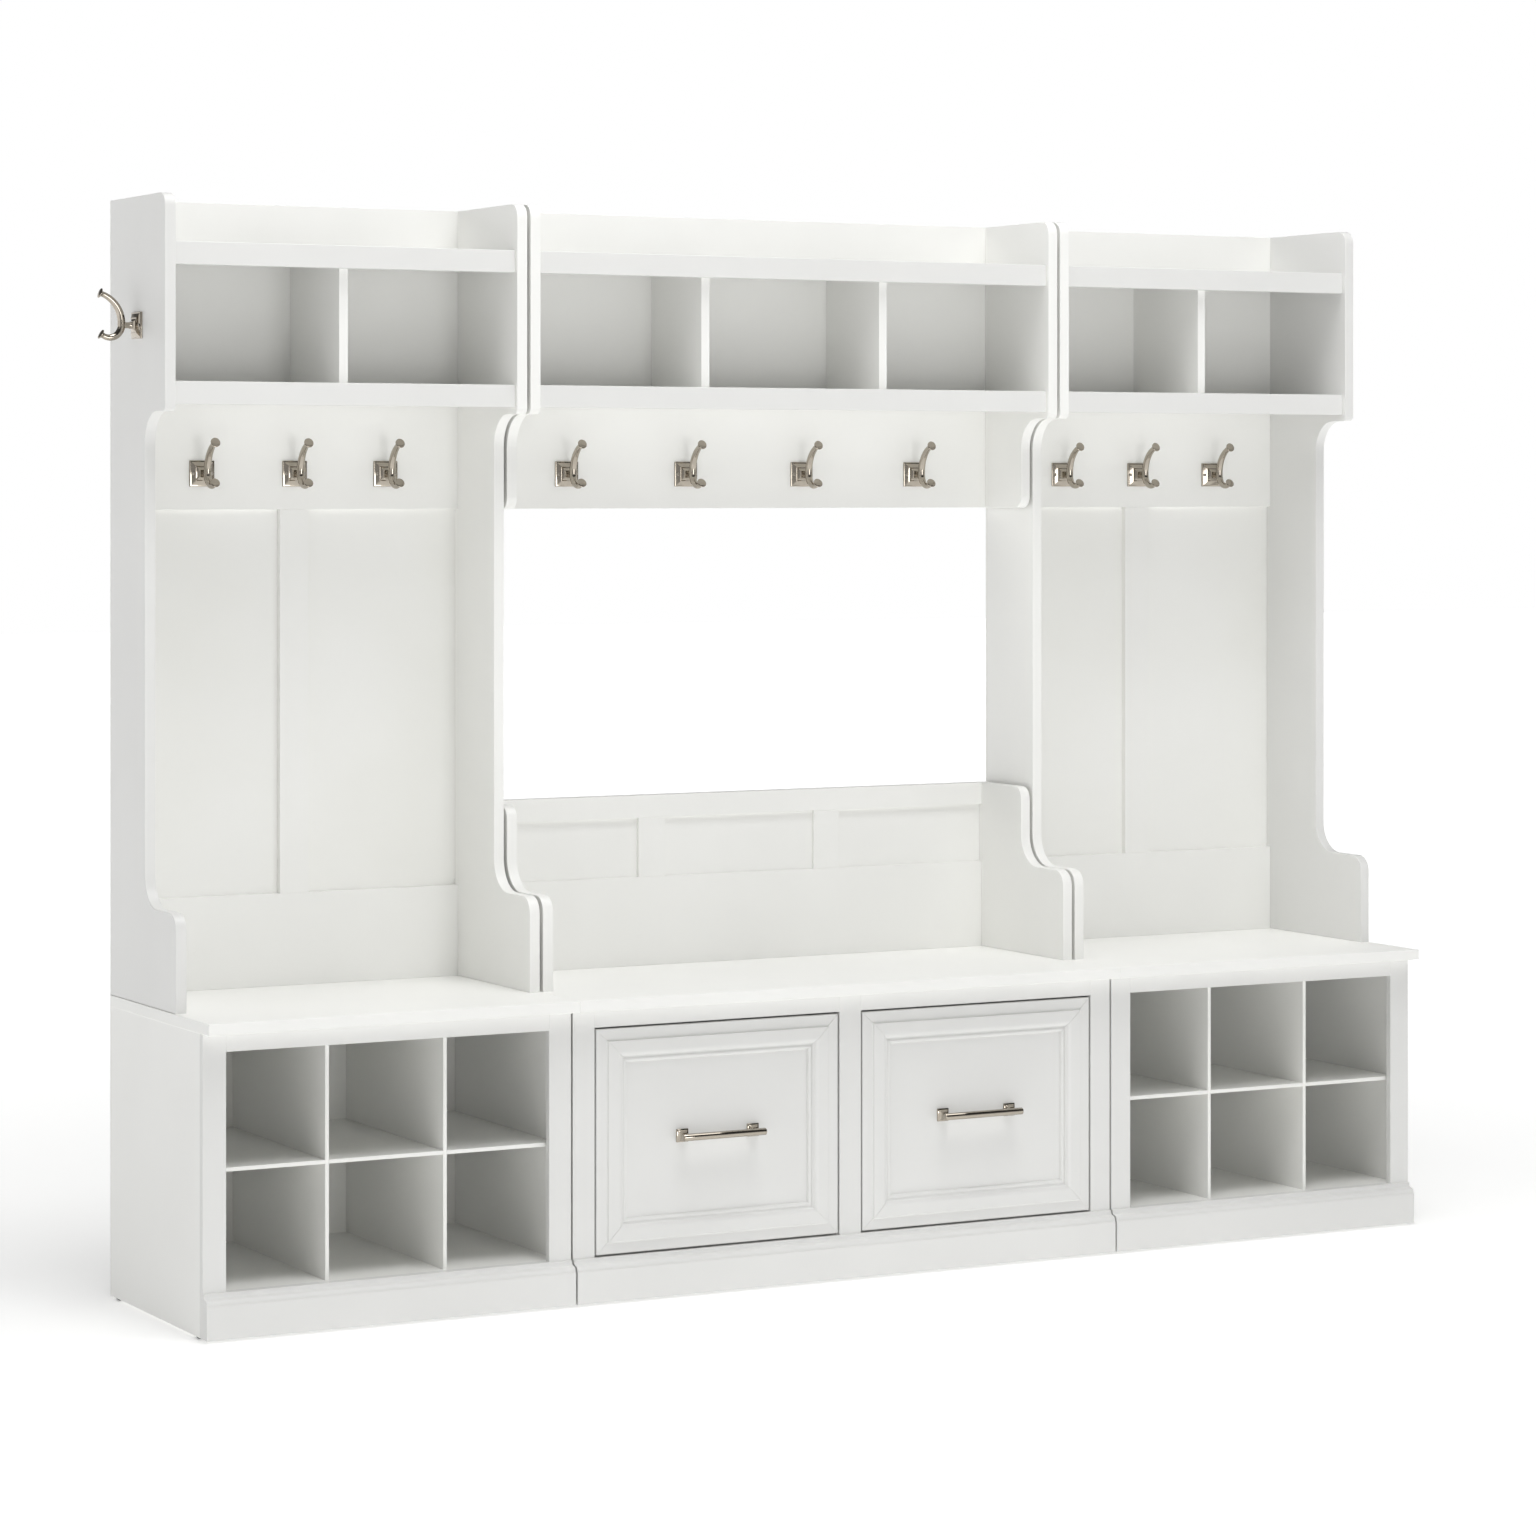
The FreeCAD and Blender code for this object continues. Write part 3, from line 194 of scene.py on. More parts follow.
@dataclass(frozen=True)
class PlatedMetal:
    """Plated metal: zinc castings in nickel, or zinc-plated steel, with fine polishing lines."""

    name: str
    light: str
    dark: str
    roughness: float
    smoother: float = 0.04
    duller: float = 0.05
    # Real polishing lines are about a tenth of this; they are drawn coarser, so that they show.
    grain_mm: float = 0.8
    stretch: float = 14.0
    grain_depth_mm: float = 0.01
    grain_strength: float = 0.3

    def make(self) -> bpy.types.Material:
        """Build the metal: soft warm reflections, slightly streaked where it was polished.

        Returns:
            The finished material.
        """
        material, tree = new_material(self.name)
        place = add_node(tree, "ShaderNodeTexCoord").outputs["Object"]
        scaled = add_node(tree, "ShaderNodeMapping", {"Scale": (1.0, 1.0, 1 / self.stretch)},
                          {"Vector": place})
        grain = add_node(tree, "ShaderNodeTexNoise", {"Scale": 1 / (self.grain_mm * MM), "Detail": 2.0},
                         {"Vector": scaled.outputs["Vector"]})
        # The mix node's inputs 6 and 7 and its output 2 are its colours.
        tone = add_node(tree, "ShaderNodeMix",
                        {"data_type": "RGBA", 6: linear(self.dark), 7: linear(self.light)},
                        {0: grain.outputs["Fac"]})
        gloss = add_node(tree, "ShaderNodeMapRange",
                         {"To Min": self.roughness - self.smoother,
                          "To Max": self.roughness + self.duller},
                         {"Value": grain.outputs["Fac"]})
        bump = add_node(tree, "ShaderNodeBump",
                        {"Strength": self.grain_strength, "Distance": self.grain_depth_mm * MM},
                        {"Height": grain.outputs["Fac"]})
        shader = add_node(tree, "ShaderNodeBsdfPrincipled", {"Metallic": 1.0},
                          {"Base Color": tone.outputs[2], "Roughness": gloss.outputs["Result"],
                           "Normal": bump.outputs["Normal"]})
        add_node(tree, "ShaderNodeOutputMaterial", links={"Surface": shader.outputs["BSDF"]})
        return material


@dataclass(frozen=True)
class MouldedPlastic:
    """Injection-moulded polyethylene: matte and almost black, with a fine spark-eroded texture."""

    name: str
    colour: str
    roughness: float = 0.55
    # The grit that a spark-eroded mould leaves, drawn about twice as coarse as it is.
    spark_mm: float = 0.6
    spark_depth_mm: float = 0.02
    spark_strength: float = 0.4
    ior: float = 1.51

    def make(self) -> bpy.types.Material:
        """Build the plastic: a dull dark foot that barely shines.

        Returns:
            The finished material.
        """
        material, tree = new_material(self.name)
        place = add_node(tree, "ShaderNodeTexCoord").outputs["Object"]
        spark = add_node(tree, "ShaderNodeTexNoise", {"Scale": 1 / (self.spark_mm * MM)},
                         {"Vector": place})
        bump = add_node(tree, "ShaderNodeBump",
                        {"Strength": self.spark_strength, "Distance": self.spark_depth_mm * MM},
                        {"Height": spark.outputs["Fac"]})
        shader = add_node(tree, "ShaderNodeBsdfPrincipled",
                          {"Base Color": linear(self.colour), "Roughness": self.roughness,
                           "IOR": self.ior},
                          {"Normal": bump.outputs["Normal"]})
        add_node(tree, "ShaderNodeOutputMaterial", links={"Surface": shader.outputs["BSDF"]})
        return material


FINISHES = {
    # An even warm white whose broad faces shade softly and whose edges catch a dull light.
    Slot.PAINT: SprayedPaint("satin_white_lacquer", "fafaf7", "f7f7f4"),
    # Thin backs that look flatter and duller than the boards in front of them, and a touch lighter than
    # the paint: painted light that keeps them bright deep inside the furniture.
    Slot.HARDBOARD: SprayedPaint("white_faced_hardboard", "fbfbf8", "f8f8f4", roughness=0.55),
    # Crate boards whose bright front edges draw a fine white grid.
    Slot.THIN_BOARD: SprayedPaint("white_melamine_thin_board", "fafaf7", "f7f7f3", roughness=0.4),
    # Drawer boxes and floors, a touch lighter than the paint: painted light that keeps them bright deep
    # inside the furniture.
    Slot.INNER_BOARD: SprayedPaint("white_melamine_board", "fbfbf8", "f8f8f4", roughness=0.45),
    # A warm grey mirror that turns dark and bright from bevel to bevel.
    Slot.NICKEL: PlatedMetal("polished_nickel_plate", "b3ab9f", "a59d91", roughness=0.08),
    # A softer glint beside the castings' own.
    Slot.SCREW: PlatedMetal("nickel_plated_steel", "b4aea6", "a29c93", roughness=0.3),
    # A cool dull grey for hardware that is rarely seen.
    Slot.FASTENER: PlatedMetal("zinc_plated_steel", "b4b7bb", "a4a7ab", roughness=0.35),
    # Long cool streaks along the drawer slides.
    Slot.SLIDE: PlatedMetal("zinc_plated_sheet_steel", "b0b3b7", "9fa2a6", roughness=0.38, grain_mm=1.6),
    # A nearly black dot under each corner.
    Slot.GLIDE: MouldedPlastic("black_polyethylene", "161616"),
}

# These pieces take a greyer copy of the white paint: painted shade that stands in for the dimmer light
# falling on them.
SHADED_FRONT_PAINT = SprayedPaint("satin_white_painted_shade", "e9e9e7", "e6e6e4", roughness=0.38)
PAINTED_SHADE_ENDINGS = ("_face_frame", "_plinth", "_drawer_front_frame", "_drawer_front_panel", "_top_shelf",
                 "_cubby_floor", "_tower_outer_side")


# ---------------------------------------------------------------- mesh helpers
def mesh_piece(name: str, shape: bmesh.types.BMesh, material: bpy.types.Material) -> bpy.types.Object:
    """Turn a bmesh into a smooth-shaded object with one material.

    Args:
        name: The piece's name.
        shape: The finished bmesh, which is freed here.
        material: The finish.

    Returns:
        The new object, linked to the scene.
    """
    mesh = bpy.data.meshes.new(name)
    bmesh.ops.recalc_face_normals(shape, faces=shape.faces)
    shape.to_mesh(mesh)
    shape.free()
    mesh.materials.append(material)
    mesh.shade_smooth()
    mesh.set_sharp_from_angle(angle=math.radians(SHARP_ANGLE))
    piece = bpy.data.objects.new(name, mesh)
    bpy.context.scene.collection.objects.link(piece)
    return piece


def bridge_rings(shape: bmesh.types.BMesh, rings: list[list[bmesh.types.BMVert]]) -> None:
    """Join equal rings of vertices into a skin, and close its first and last ring.

    Args:
        shape: The bmesh that holds the rings.
        rings: The rings in order, each with the same number of vertices.
    """
    count = len(rings[0])
    for first, second in zip(rings, rings[1:]):
        for i in range(count):
            j = (i + 1) % count
            shape.faces.new((first[i], first[j], second[j], second[i]))
    shape.faces.new(list(reversed(rings[0])))
    shape.faces.new(rings[-1])


@dataclass
class Station:
    """One place along a bent bar: where it is, which way the bar runs there and how thick it is."""

    point: Vector
    way: Vector
    radius: float


def sweep(shape: bmesh.types.BMesh, stations: list[Station], across: Vector,
          sides: int = ROUND_SIDES) -> None:
    """Add a closed round bar that follows stations lying in one plane.

    Args:
        shape: The bmesh to add to.
        stations: The places along the bar, in order.
        across: The plane's normal.
        sides: How many sides each ring has.
    """
    rings = []
    for station in stations:
        up = across.cross(station.way).normalized()
        ring = []
        for step in range(sides):
            angle = 2 * math.pi * step / sides
            offset = across * math.cos(angle) + up * math.sin(angle)
            ring.append(shape.verts.new(station.point + offset * station.radius))
        rings.append(ring)
    bridge_rings(shape, rings)


def square_stack(shape: bmesh.types.BMesh, levels: list[tuple[float, float]], corner: float) -> None:
    """Add a square block that grows out along -Y, with rounded upright corners.

    Args:
        shape: The bmesh to add to.
        levels: Pairs of distance out from the board and half width there.
        corner: The corner radius where the block is widest.
    """
    widest = max(half for _, half in levels)
    rings = []
    for out, half in levels:
        radius = corner * half / widest
        ring = []
        for quarter in range(4):
            turn = math.pi / 2 * quarter
            centre = Vector((half - radius, half - radius))
            for step in range(CORNER_STEPS + 1):
                angle = math.pi / 2 * step / CORNER_STEPS
                spot = centre + Vector((math.cos(angle), math.sin(angle))) * radius
                x = spot.x * math.cos(turn) - spot.y * math.sin(turn)
                z = spot.x * math.sin(turn) + spot.y * math.cos(turn)
                ring.append(shape.verts.new((x, -out, z)))
        rings.append(ring)
    bridge_rings(shape, rings)


def islands(node: str) -> list[tuple[Vector, Vector]]:
    """Find the separate solids of a CAD node.

    Args:
        node: The CAD node's name.

    Returns:
        The lowest and highest corner of each solid, in the row frame.
    """
    shape = bmesh.new()
    shape.from_mesh(bpy.data.objects[node].data)
    bmesh.ops.remove_doubles(shape, verts=shape.verts, dist=WELD)
    unseen = set(shape.verts)
    boxes = []
    while unseen:
        front = [unseen.pop()]
        low = front[0].co.copy()
        high = front[0].co.copy()
        while front:
            vert = front.pop()
            for axis in range(3):
                low[axis] = min(low[axis], vert.co[axis])
                high[axis] = max(high[axis], vert.co[axis])
            for edge in vert.link_edges:
                other = edge.other_vert(vert)
                if other in unseen:
                    unseen.discard(other)
                    front.append(other)
        boxes.append((low, high))
    shape.free()
    return sorted(boxes, key=lambda box: (round(box[0].x, 4), round(box[0].z, 4)))


# ---------------------------------------------------------------- screws
@dataclass
class CrossHeadScrew:
    """A pan-head screw with a cross recess; only its head and a little of its shank can be seen.

    The point's start and share say where the shank narrows, and to what part of its width. The slot's
    floor is at that share of the head's rise.
    """

    head_dia: float = 6.0 * MM
    head_rise: float = 1.8 * MM
    shank_dia: float = 3.4 * MM
    shank_length: float = 14.0 * MM
    point_start: float = 0.8
    point_share: float = 0.5
    crown_steps: int = 8
    crown_power: float = 0.6
    slot_width: float = 0.9 * MM
    slot_reach: float = 3.4 * MM
    slot_floor: float = 0.6

    def build(self, name: str, material: bpy.types.Material) -> bpy.types.Object:
        """Make the screw with its head's seat at the origin and its head towards -Y.

        Args:
            name: The piece's name.
            material: The metal.

        Returns:
            The screw.
        """
        shape = bmesh.new()
        half = self.head_dia / 2
        shank = self.shank_dia / 2
        stations = [Station(Vector((0, self.shank_length, 0)), OUTWARD, shank * self.point_share),
                    Station(Vector((0, self.shank_length * self.point_start, 0)), OUTWARD, shank),
                    Station(Vector((0, 0, 0)), OUTWARD, shank),
                    Station(Vector((0, 0, 0)), OUTWARD, half)]
        for step in range(1, self.crown_steps):
            angle = math.pi / 2 * step / self.crown_steps
            spot = Vector((0, -self.head_rise * math.sin(angle), 0))
            stations.append(Station(spot, OUTWARD, half * math.cos(angle) ** self.crown_power))
        sweep(shape, stations, SIDEWAYS, sides=SCREW_SIDES)
        piece = mesh_piece(name, shape, material)
        self.cut_cross(piece)
        return piece

    def cut_cross(self, piece: bpy.types.Object) -> None:
        """Take the cross recess out of the head.

        Args:
            piece: The screw.
        """
        depth = 2.0 * self.head_rise
        size = Matrix.Diagonal((self.slot_reach, depth, self.slot_width, 1.0))
        move = Matrix.Translation((0, -(self.slot_floor * self.head_rise + depth / 2), 0))
        for turn in (0.0, 90.0):
            cutter_shape = bmesh.new()
            bmesh.ops.create_cube(cutter_shape, size=1.0)
            cutter_shape.transform(Matrix.Rotation(math.radians(turn), 4, "Y") @ move @ size)
            cutter = mesh_piece("recess_cutter", cutter_shape, piece.data.materials[0])
            boolean = piece.modifiers.new("recess", "BOOLEAN")
            boolean.operation = "DIFFERENCE"
            boolean.object = cutter
            settle(piece)
            bpy.data.objects.remove(cutter)


def settle(piece: bpy.types.Object) -> None:
    """Apply a piece's modifiers for good."""
    bpy.context.view_layer.update()
    seen = piece.evaluated_get(bpy.context.evaluated_depsgraph_get())
    mesh = bpy.data.meshes.new_from_object(seen)
    piece.modifiers.clear()
    piece.data = mesh


# ---------------------------------------------------------------- coat hooks
# The rounded rim and the slightly domed face of a hook's end: how far each ring lies below the face, as
# a share of the rim's height, and how far in from the rim, as a share of the radius.
PAD_FACE = ((0.45, 0.0), (0.12, 0.06), (0.0, 0.16), (-0.25, 0.5), (-0.36, 0.9))


@dataclass
class CoatHook:
    """A cast double hook: a bevelled square plate, a concave neck and one bent arm with flared ends.

    A field with sunk in its name says how far a block starts inside the one below it. The hollow and the
    flare's power are the exponents of curved sides.
    """

    plate: float = 42.0 * MM
    plate_thick: float = 3.5 * MM
    plate_edge: float = 0.9 * MM
    plate_corner: float = 0.8 * MM
    bevel: float = 37.0 * MM
    bevel_top: float = 24.0 * MM
    bevel_rise: float = 3.5 * MM
    bevel_corner: float = 0.4 * MM
    bevel_edge_drop: float = 0.15 * MM
    bevel_edge_out: float = 0.28 * MM
    bevel_edge_in: float = 0.3 * MM
    seat_lift: float = 1.0 * MM
    pyramid: float = 20.0 * MM
    pyramid_rise: float = 5.0 * MM
    pyramid_hollow: float = 2.1
    pyramid_steps: int = 12
    sunk: float = 0.5 * MM
    neck: float = 11.0 * MM
    neck_pinch: float = 0.14
    neck_steps: int = 8
    neck_sunk: float = 1.0 * MM
    reach: float = 27.0 * MM
    arm_dia: float = 12.0 * MM
    tip_neck_dia: float = 8.8 * MM
    upper_round: float = 48.0 * MM
    lower_round: float = 19.8 * MM
    straight: float = 3.0 * MM
    upper_turn: float = 69.0
    lower_turn: float = 120.0
    arm_steps: int = 24
    tip_dia: float = 16.0 * MM
    tip_flare: float = 4.2 * MM
    tip_flare_power: float = 2.4
    tip_flare_steps: int = 6
    tip_edge: float = 1.5 * MM

    def arm_stations(self) -> list[Station]:
        """Follow the arm from its upper tip, round the straight and the crook, to its lower tip.

        Returns:
            The places along the arm, thickest at the middle and flared at both ends.
        """
        upper_centre = Vector((0, -(self.reach + self.upper_round), self.straight))
        lower_centre = Vector((0, -(self.reach + self.lower_round), 0))
        line = []
        for step in range(self.arm_steps + 1):
            angle = math.radians(self.upper_turn) * (1 - step / self.arm_steps)
            point = upper_centre + self.upper_round * Vector((0, math.cos(angle), math.sin(angle)))
            line.append((point, Vector((0, math.sin(angle), -math.cos(angle)))))
        for step in range(self.arm_steps + 1):
            angle = math.radians(self.lower_turn) * step / self.arm_steps
            point = lower_centre + self.lower_round * Vector((0, math.cos(angle), -math.sin(angle)))
            line.append((point, Vector((0, -math.sin(angle), -math.cos(angle)))))
        stations = []
        middle = (len(line) - 1) / 2
        for index, (point, way) in enumerate(line):
            share = abs(index - middle) / middle
            slim = self.tip_neck_dia + (self.arm_dia - self.tip_neck_dia) * math.cos(math.pi / 2 * share)
            stations.append(Station(point, way, slim / 2))
        head = self.flared_tip(line[0][0], -line[0][1])
        tail = self.flared_tip(line[-1][0], line[-1][1])
        for station in head:
            station.way = -station.way
        return list(reversed(head)) + stations + tail

    def flared_tip(self, end: Vector, way: Vector) -> list[Station]:
        """Widen the arm's end into a round pad with a soft edge.

        Args:
            end: Where the bent part of the arm stops.
            way: The direction in which the arm leaves.

        Returns:
            The places from the arm's end to the middle of the pad's face.
        """
        neck = self.tip_neck_dia / 2
        wide = self.tip_dia / 2
        stations = []
        for step in range(1, self.tip_flare_steps + 1):
            share = step / self.tip_flare_steps
            radius = neck + (wide - neck) * share ** self.tip_flare_power
            stations.append(Station(end + way * self.tip_flare * share, way, radius))
        edge = end + way * (self.tip_flare + self.tip_edge)
        for drop, inset in PAD_FACE:
            stations.append(Station(edge - way * self.tip_edge * drop, way, wide * (1 - inset)))
        return stations

    @property
    def face(self) -> float:
        """How far the raised square's flat face stands out from the board."""
        return self.plate_thick + self.bevel_rise

    def add_plate(self, shape: bmesh.types.BMesh) -> None:
        """Add the square plate and the bevelled square raised on it.

        Args:
            shape: The hook's bmesh.
        """
        half = self.plate / 2
        middle = ROUND_MIDDLE * self.plate_edge
        square_stack(shape, [(0.0, half), (self.plate_thick - self.plate_edge, half),
                             (self.plate_thick - middle, half - middle),
                             (self.plate_thick, half - self.plate_edge)], self.plate_corner)
        foot = self.bevel / 2
        top = self.bevel_top / 2
        square_stack(shape, [(self.plate_thick - self.sunk, foot), (self.plate_thick, foot),
                             (self.face - self.bevel_edge_drop, top + self.bevel_edge_out),
                             (self.face, top - self.bevel_edge_in)], self.bevel_corner)

    def add_neck(self, shape: bmesh.types.BMesh) -> None:
        """Add the hollow-sided pyramid and the pinched round neck that carries the arm.

        Args:
            shape: The hook's bmesh.
        """
        waist = self.neck / 2
        levels = [(self.face - self.sunk, self.pyramid / 2)]
        for index in range(self.pyramid_steps + 1):
            share = index / self.pyramid_steps
            half_width = waist + (self.pyramid - self.neck) / 2 * (1 - share) ** self.pyramid_hollow
            levels.append((self.face + self.pyramid_rise * share, half_width))
        square_stack(shape, levels, self.plate_corner)
        start = self.face + self.pyramid_rise - self.neck_sunk
        stem = [Station(Vector((0, -start, 0)), OUTWARD, waist)]
        for index in range(1, self.neck_steps + 1):
            share = index / self.neck_steps
            pinch = 1 - self.neck_pinch * math.sin(math.pi * share)
            spot = Vector((0, -(start + (self.reach - start) * share), 0))
            stem.append(Station(spot, OUTWARD, waist * pinch))
        sweep(shape, stem, SIDEWAYS)

    def build(self, name: str, material: bpy.types.Material) -> bpy.types.Object:
        """Make the hook with its back on the plane y = 0 and its plate's middle at the origin.

        Args:
            name: The piece's name.
            material: The metal.

        Returns:
            The hook.
        """
        shape = bmesh.new()
        self.add_plate(shape)
        self.add_neck(shape)
        sweep(shape, self.arm_stations(), SIDEWAYS)
        return mesh_piece(name, shape, material)


@dataclass
class HookSet:
    """All the coat hooks with their screws, each standing where its casting is in the frame."""

    castings: str = "coat_hooks"
    screws: str = "hook_screws"
    body: str = "hall_tree"
    margin: float = 20.0 * MM
    roll_per_hook: float = 31.0
    roll_per_screw: float = 47.0

    def places(self) -> list[tuple[Vector, Facing, list[Vector]]]:
        """Read each hook's place from its casting and its two screws.

        Returns:
            For each hook, the middle of its back, the way it faces and its screws' middles.
        """
        middles = [(low + high) / 2 for low, high in islands(self.screws)]
        found = []
        for low, high in islands(self.castings):
            size = high - low
            faces_front = size.y > size.x
            inside = [spot for spot in middles
                      if all(low[i] - self.margin < spot[i] < high[i] + self.margin for i in range(3))]
            height = sum(spot.z for spot in inside) / len(inside)
            if faces_front:
                found.append((Vector(((low.x + high.x) / 2, high.y, height)), Facing.FRONT, inside))
            elif low.x > 0:
                found.append((Vector((low.x, (low.y + high.y) / 2, height)), Facing.RIGHT, inside))
            else:
                found.append((Vector((high.x, (low.y + high.y) / 2, height)), Facing.LEFT, inside))
        return found

    def build(self, hook: CoatHook, screw: CrossHeadScrew, metal: bpy.types.Material,
              screw_metal: bpy.types.Material) -> None:
        """Stand a hook and two screws at every place.

        Args:
            hook: The hook's sizes.
            screw: The screw's sizes.
            metal: The hooks' finish.
            screw_metal: The screws' finish.
        """
        pattern = hook.build("coat_hook", metal)
        screw_pattern = screw.build("hook_screw", screw_metal)
        seat = hook.plate_thick + hook.seat_lift
        for number, (spot, facing, screw_spots) in enumerate(self.places(), start=1):
            turn = Matrix.Rotation(math.radians(facing.value), 4, "Z")
            piece = bpy.data.objects.new("coat_hook_%02d" % number, pattern.data)
            bpy.context.scene.collection.objects.link(piece)
            piece.matrix_world = Matrix.Translation(spot) @ turn
            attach(piece, self.body)
            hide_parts(self.castings)
            for side, place in enumerate(screw_spots, start=1):
                local = turn.inverted() @ (place - spot)
                local.y = -seat
                head = bpy.data.objects.new("hook_screw_%02d_%d" % (number, side), screw_pattern.data)
                bpy.context.scene.collection.objects.link(head)
                angle = self.roll_per_hook * number + self.roll_per_screw * side
                roll = Matrix.Rotation(math.radians(angle), 4, "Y")
                head.matrix_world = Matrix.Translation(spot) @ turn @ Matrix.Translation(local) @ roll
                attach(head, self.body)
                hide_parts(self.screws)
            log.info("coat hook %d faces %s", number, facing.name.lower())
        bpy.data.objects.remove(pattern)
        bpy.data.objects.remove(screw_pattern)


# ---------------------------------------------------------------- drawer pulls
@dataclass
class DrawerPull:
    """A round bar on two square stepped feet, held by machine screws from inside the drawer.

    The feet's hollow is the exponent of their curved sides, and the bar's pip is the radius at which its
    flat ends close.
    """

    side: str
    pitch: float = 128.0 * MM
    bar_dia: float = 11.5 * MM
    bar_edge: float = 1.0 * MM
    bar_end_pip: float = 0.05 * MM
    foot: float = 21.0 * MM
    foot_thick: float = 3.0 * MM
    foot_edge: float = 0.6 * MM
    foot_corner: float = 0.8 * MM
    foot_step: float = 17.0 * MM
    foot_step_corner: float = 0.9 * MM
    foot_step_sunk: float = 0.4 * MM
    foot_peak: float = 9.0 * MM
    foot_rise: float = 8.0 * MM
    foot_hollow: float = 1.9
    foot_steps: int = 8
    post_dia: float = 5.0 * MM
    screw_dia: float = 4.0 * MM
    screw_head: float = 9.0 * MM
    screw_cap: float = 2.5 * MM
    screw_edge: float = 0.5 * MM
    screw_crown: float = 0.8

    @property
    def node(self) -> str:
        """The CAD node that the pull stands for."""
        return "%s_drawer_pull" % self.side

    def build(self, metal: bpy.types.Material) -> bpy.types.Object:
        """Make the pull where the frame has it.

        Args:
            metal: The pull's finish.

        Returns:
            The pull.
        """
        low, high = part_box(self.node)
        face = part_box("%s_drawer_front_panel" % self.side)[0].y
        stand = face - (low.y + self.bar_dia / 2)
        half = (high.x - low.x) / 2
        shape = bmesh.new()
        radius = self.bar_dia / 2
        middle = ROUND_MIDDLE * self.bar_edge
        end = [(half, self.bar_end_pip), (half, radius - self.bar_edge), (half - middle, radius - middle),
               (half - self.bar_edge, radius)]
        bar = [Station(Vector((-x, -stand, 0)), SIDEWAYS, r) for x, r in end]
        bar += [Station(Vector((x, -stand, 0)), SIDEWAYS, r) for x, r in reversed(end)]
        sweep(shape, bar, UPWARD)
        depth = high.y - face
        for sign in (-1, 1):
            self.add_foot(shape, sign * self.pitch / 2, stand, depth)
        piece = mesh_piece("%s_drawer_bar_pull" % self.side, shape, metal)
        piece.location = Vector(((low.x + high.x) / 2, face, (low.z + high.z) / 2))
        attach(piece, "%s_drawer" % self.side)
        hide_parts(self.node)
        return piece

    def add_foot(self, shape: bmesh.types.BMesh, x: float, stand: float, depth: float) -> None:
        """Add one foot with its post, and the screw behind it.

        Args:
            shape: The pull's bmesh.
            x: The foot's middle along the bar.
            stand: How far the bar's axis is from the drawer's face.
            depth: How far behind the face the screw's head ends.
        """
        part = bmesh.new()
        half = self.foot / 2
        square_stack(part, [(0.0, half), (self.foot_thick - self.foot_edge, half),
                            (self.foot_thick, half - self.foot_edge)], self.foot_corner)
        levels = [(self.foot_thick - self.foot_step_sunk, self.foot_step / 2)]
        for index in range(self.foot_steps + 1):
            share = index / self.foot_steps
            spread = (self.foot_step - self.foot_peak) / 2 * (1 - share) ** self.foot_hollow
            levels.append((self.foot_thick + self.foot_rise * share, self.foot_peak / 2 + spread))
        square_stack(part, levels, self.foot_step_corner)
        post = [Station(Vector((0, -self.foot_thick, 0)), OUTWARD, self.post_dia / 2),
                Station(Vector((0, -stand, 0)), OUTWARD, self.post_dia / 2)]
        sweep(part, post, SIDEWAYS)
        head = self.screw_head / 2
        shank = self.screw_dia / 2
        screw = [Station(Vector((0, depth, 0)), OUTWARD, head * self.screw_crown),
                 Station(Vector((0, depth - self.screw_edge, 0)), OUTWARD, head),
                 Station(Vector((0, depth - self.screw_cap, 0)), OUTWARD, head),
                 Station(Vector((0, depth - self.screw_cap, 0)), OUTWARD, shank),
                 Station(Vector((0, 0, 0)), OUTWARD, shank)]
        sweep(part, screw, SIDEWAYS, sides=SCREW_SIDES)
        part.transform(Matrix.Translation((x, 0, 0)))
        mesh = bpy.data.meshes.new("foot")
        part.to_mesh(mesh)
        part.free()
        shape.from_mesh(mesh)
        bpy.data.meshes.remove(mesh)


# ---------------------------------------------------------------- cabinetry
@dataclass
class Joinery:
    """The boards, back panels, slides and fittings that come from the frame as they are."""

    record: dict
    nodes: dict

    def dress(self, made: dict[Slot, bpy.types.Material], front: bpy.types.Material) -> None:
        """Give every CAD node the finish of its slot, and the pieces that take painted shade a greyer
        copy of the paint.

        Args:
            made: The materials by slot.
            front: The greyer copy of the paint, painted shade, for the pieces picked out by the ending of
                their names.
        """
        for row in self.record["subparts"]:
            piece = self.nodes[row["node"]]
            # Pieces with those endings take the greyer copy of the paint, painted shade.
            finish = front if row["node"].endswith(PAINTED_SHADE_ENDINGS) else made[Slot(row["material_slot"])]
            piece.data.materials.clear()
            piece.data.materials.append(finish)
            log.info("%s takes %s", row["node"], finish.name)


# ---------------------------------------------------------------- studio
@dataclass(frozen=True)
class Softbox:
    """One square soft light: where it hangs, what it points at, its side in metres and its watts."""

    name: str
    spot: tuple[float, float, float]
    target: tuple[float, float, float]
    width: float
    watts: float

    def hang(self) -> None:
        """Hang the light and aim it."""
        light = bpy.data.lights.new(self.name, "AREA")
        light.shape = "SQUARE"
        light.size = self.width
        light.energy = self.watts
        piece = bpy.data.objects.new(self.name, light)
        bpy.context.scene.collection.objects.link(piece)
        piece.location = self.spot
        aim = Vector(self.target) - Vector(self.spot)
        piece.rotation_euler = aim.to_track_quat("-Z", "Y").to_euler()


SOFTBOXES = (
    Softbox("overhead_softbox", (0, -1.0, 5.0), (0, 0, 0.9), 4.0, 130.0),
    Softbox("high_softbox", (-0.5, -2.5, 9.0), (0, 0, 0.9), 3.0, 190.0),
    Softbox("front_softbox", (-0.3, -6.5, 0.8), (0, 0, 0.6), 1.8, 58.0),
    Softbox("left_softbox", (-6.5, -1.5, 2.5), (0, 0, 0.9), 4.0, 22.0),
)


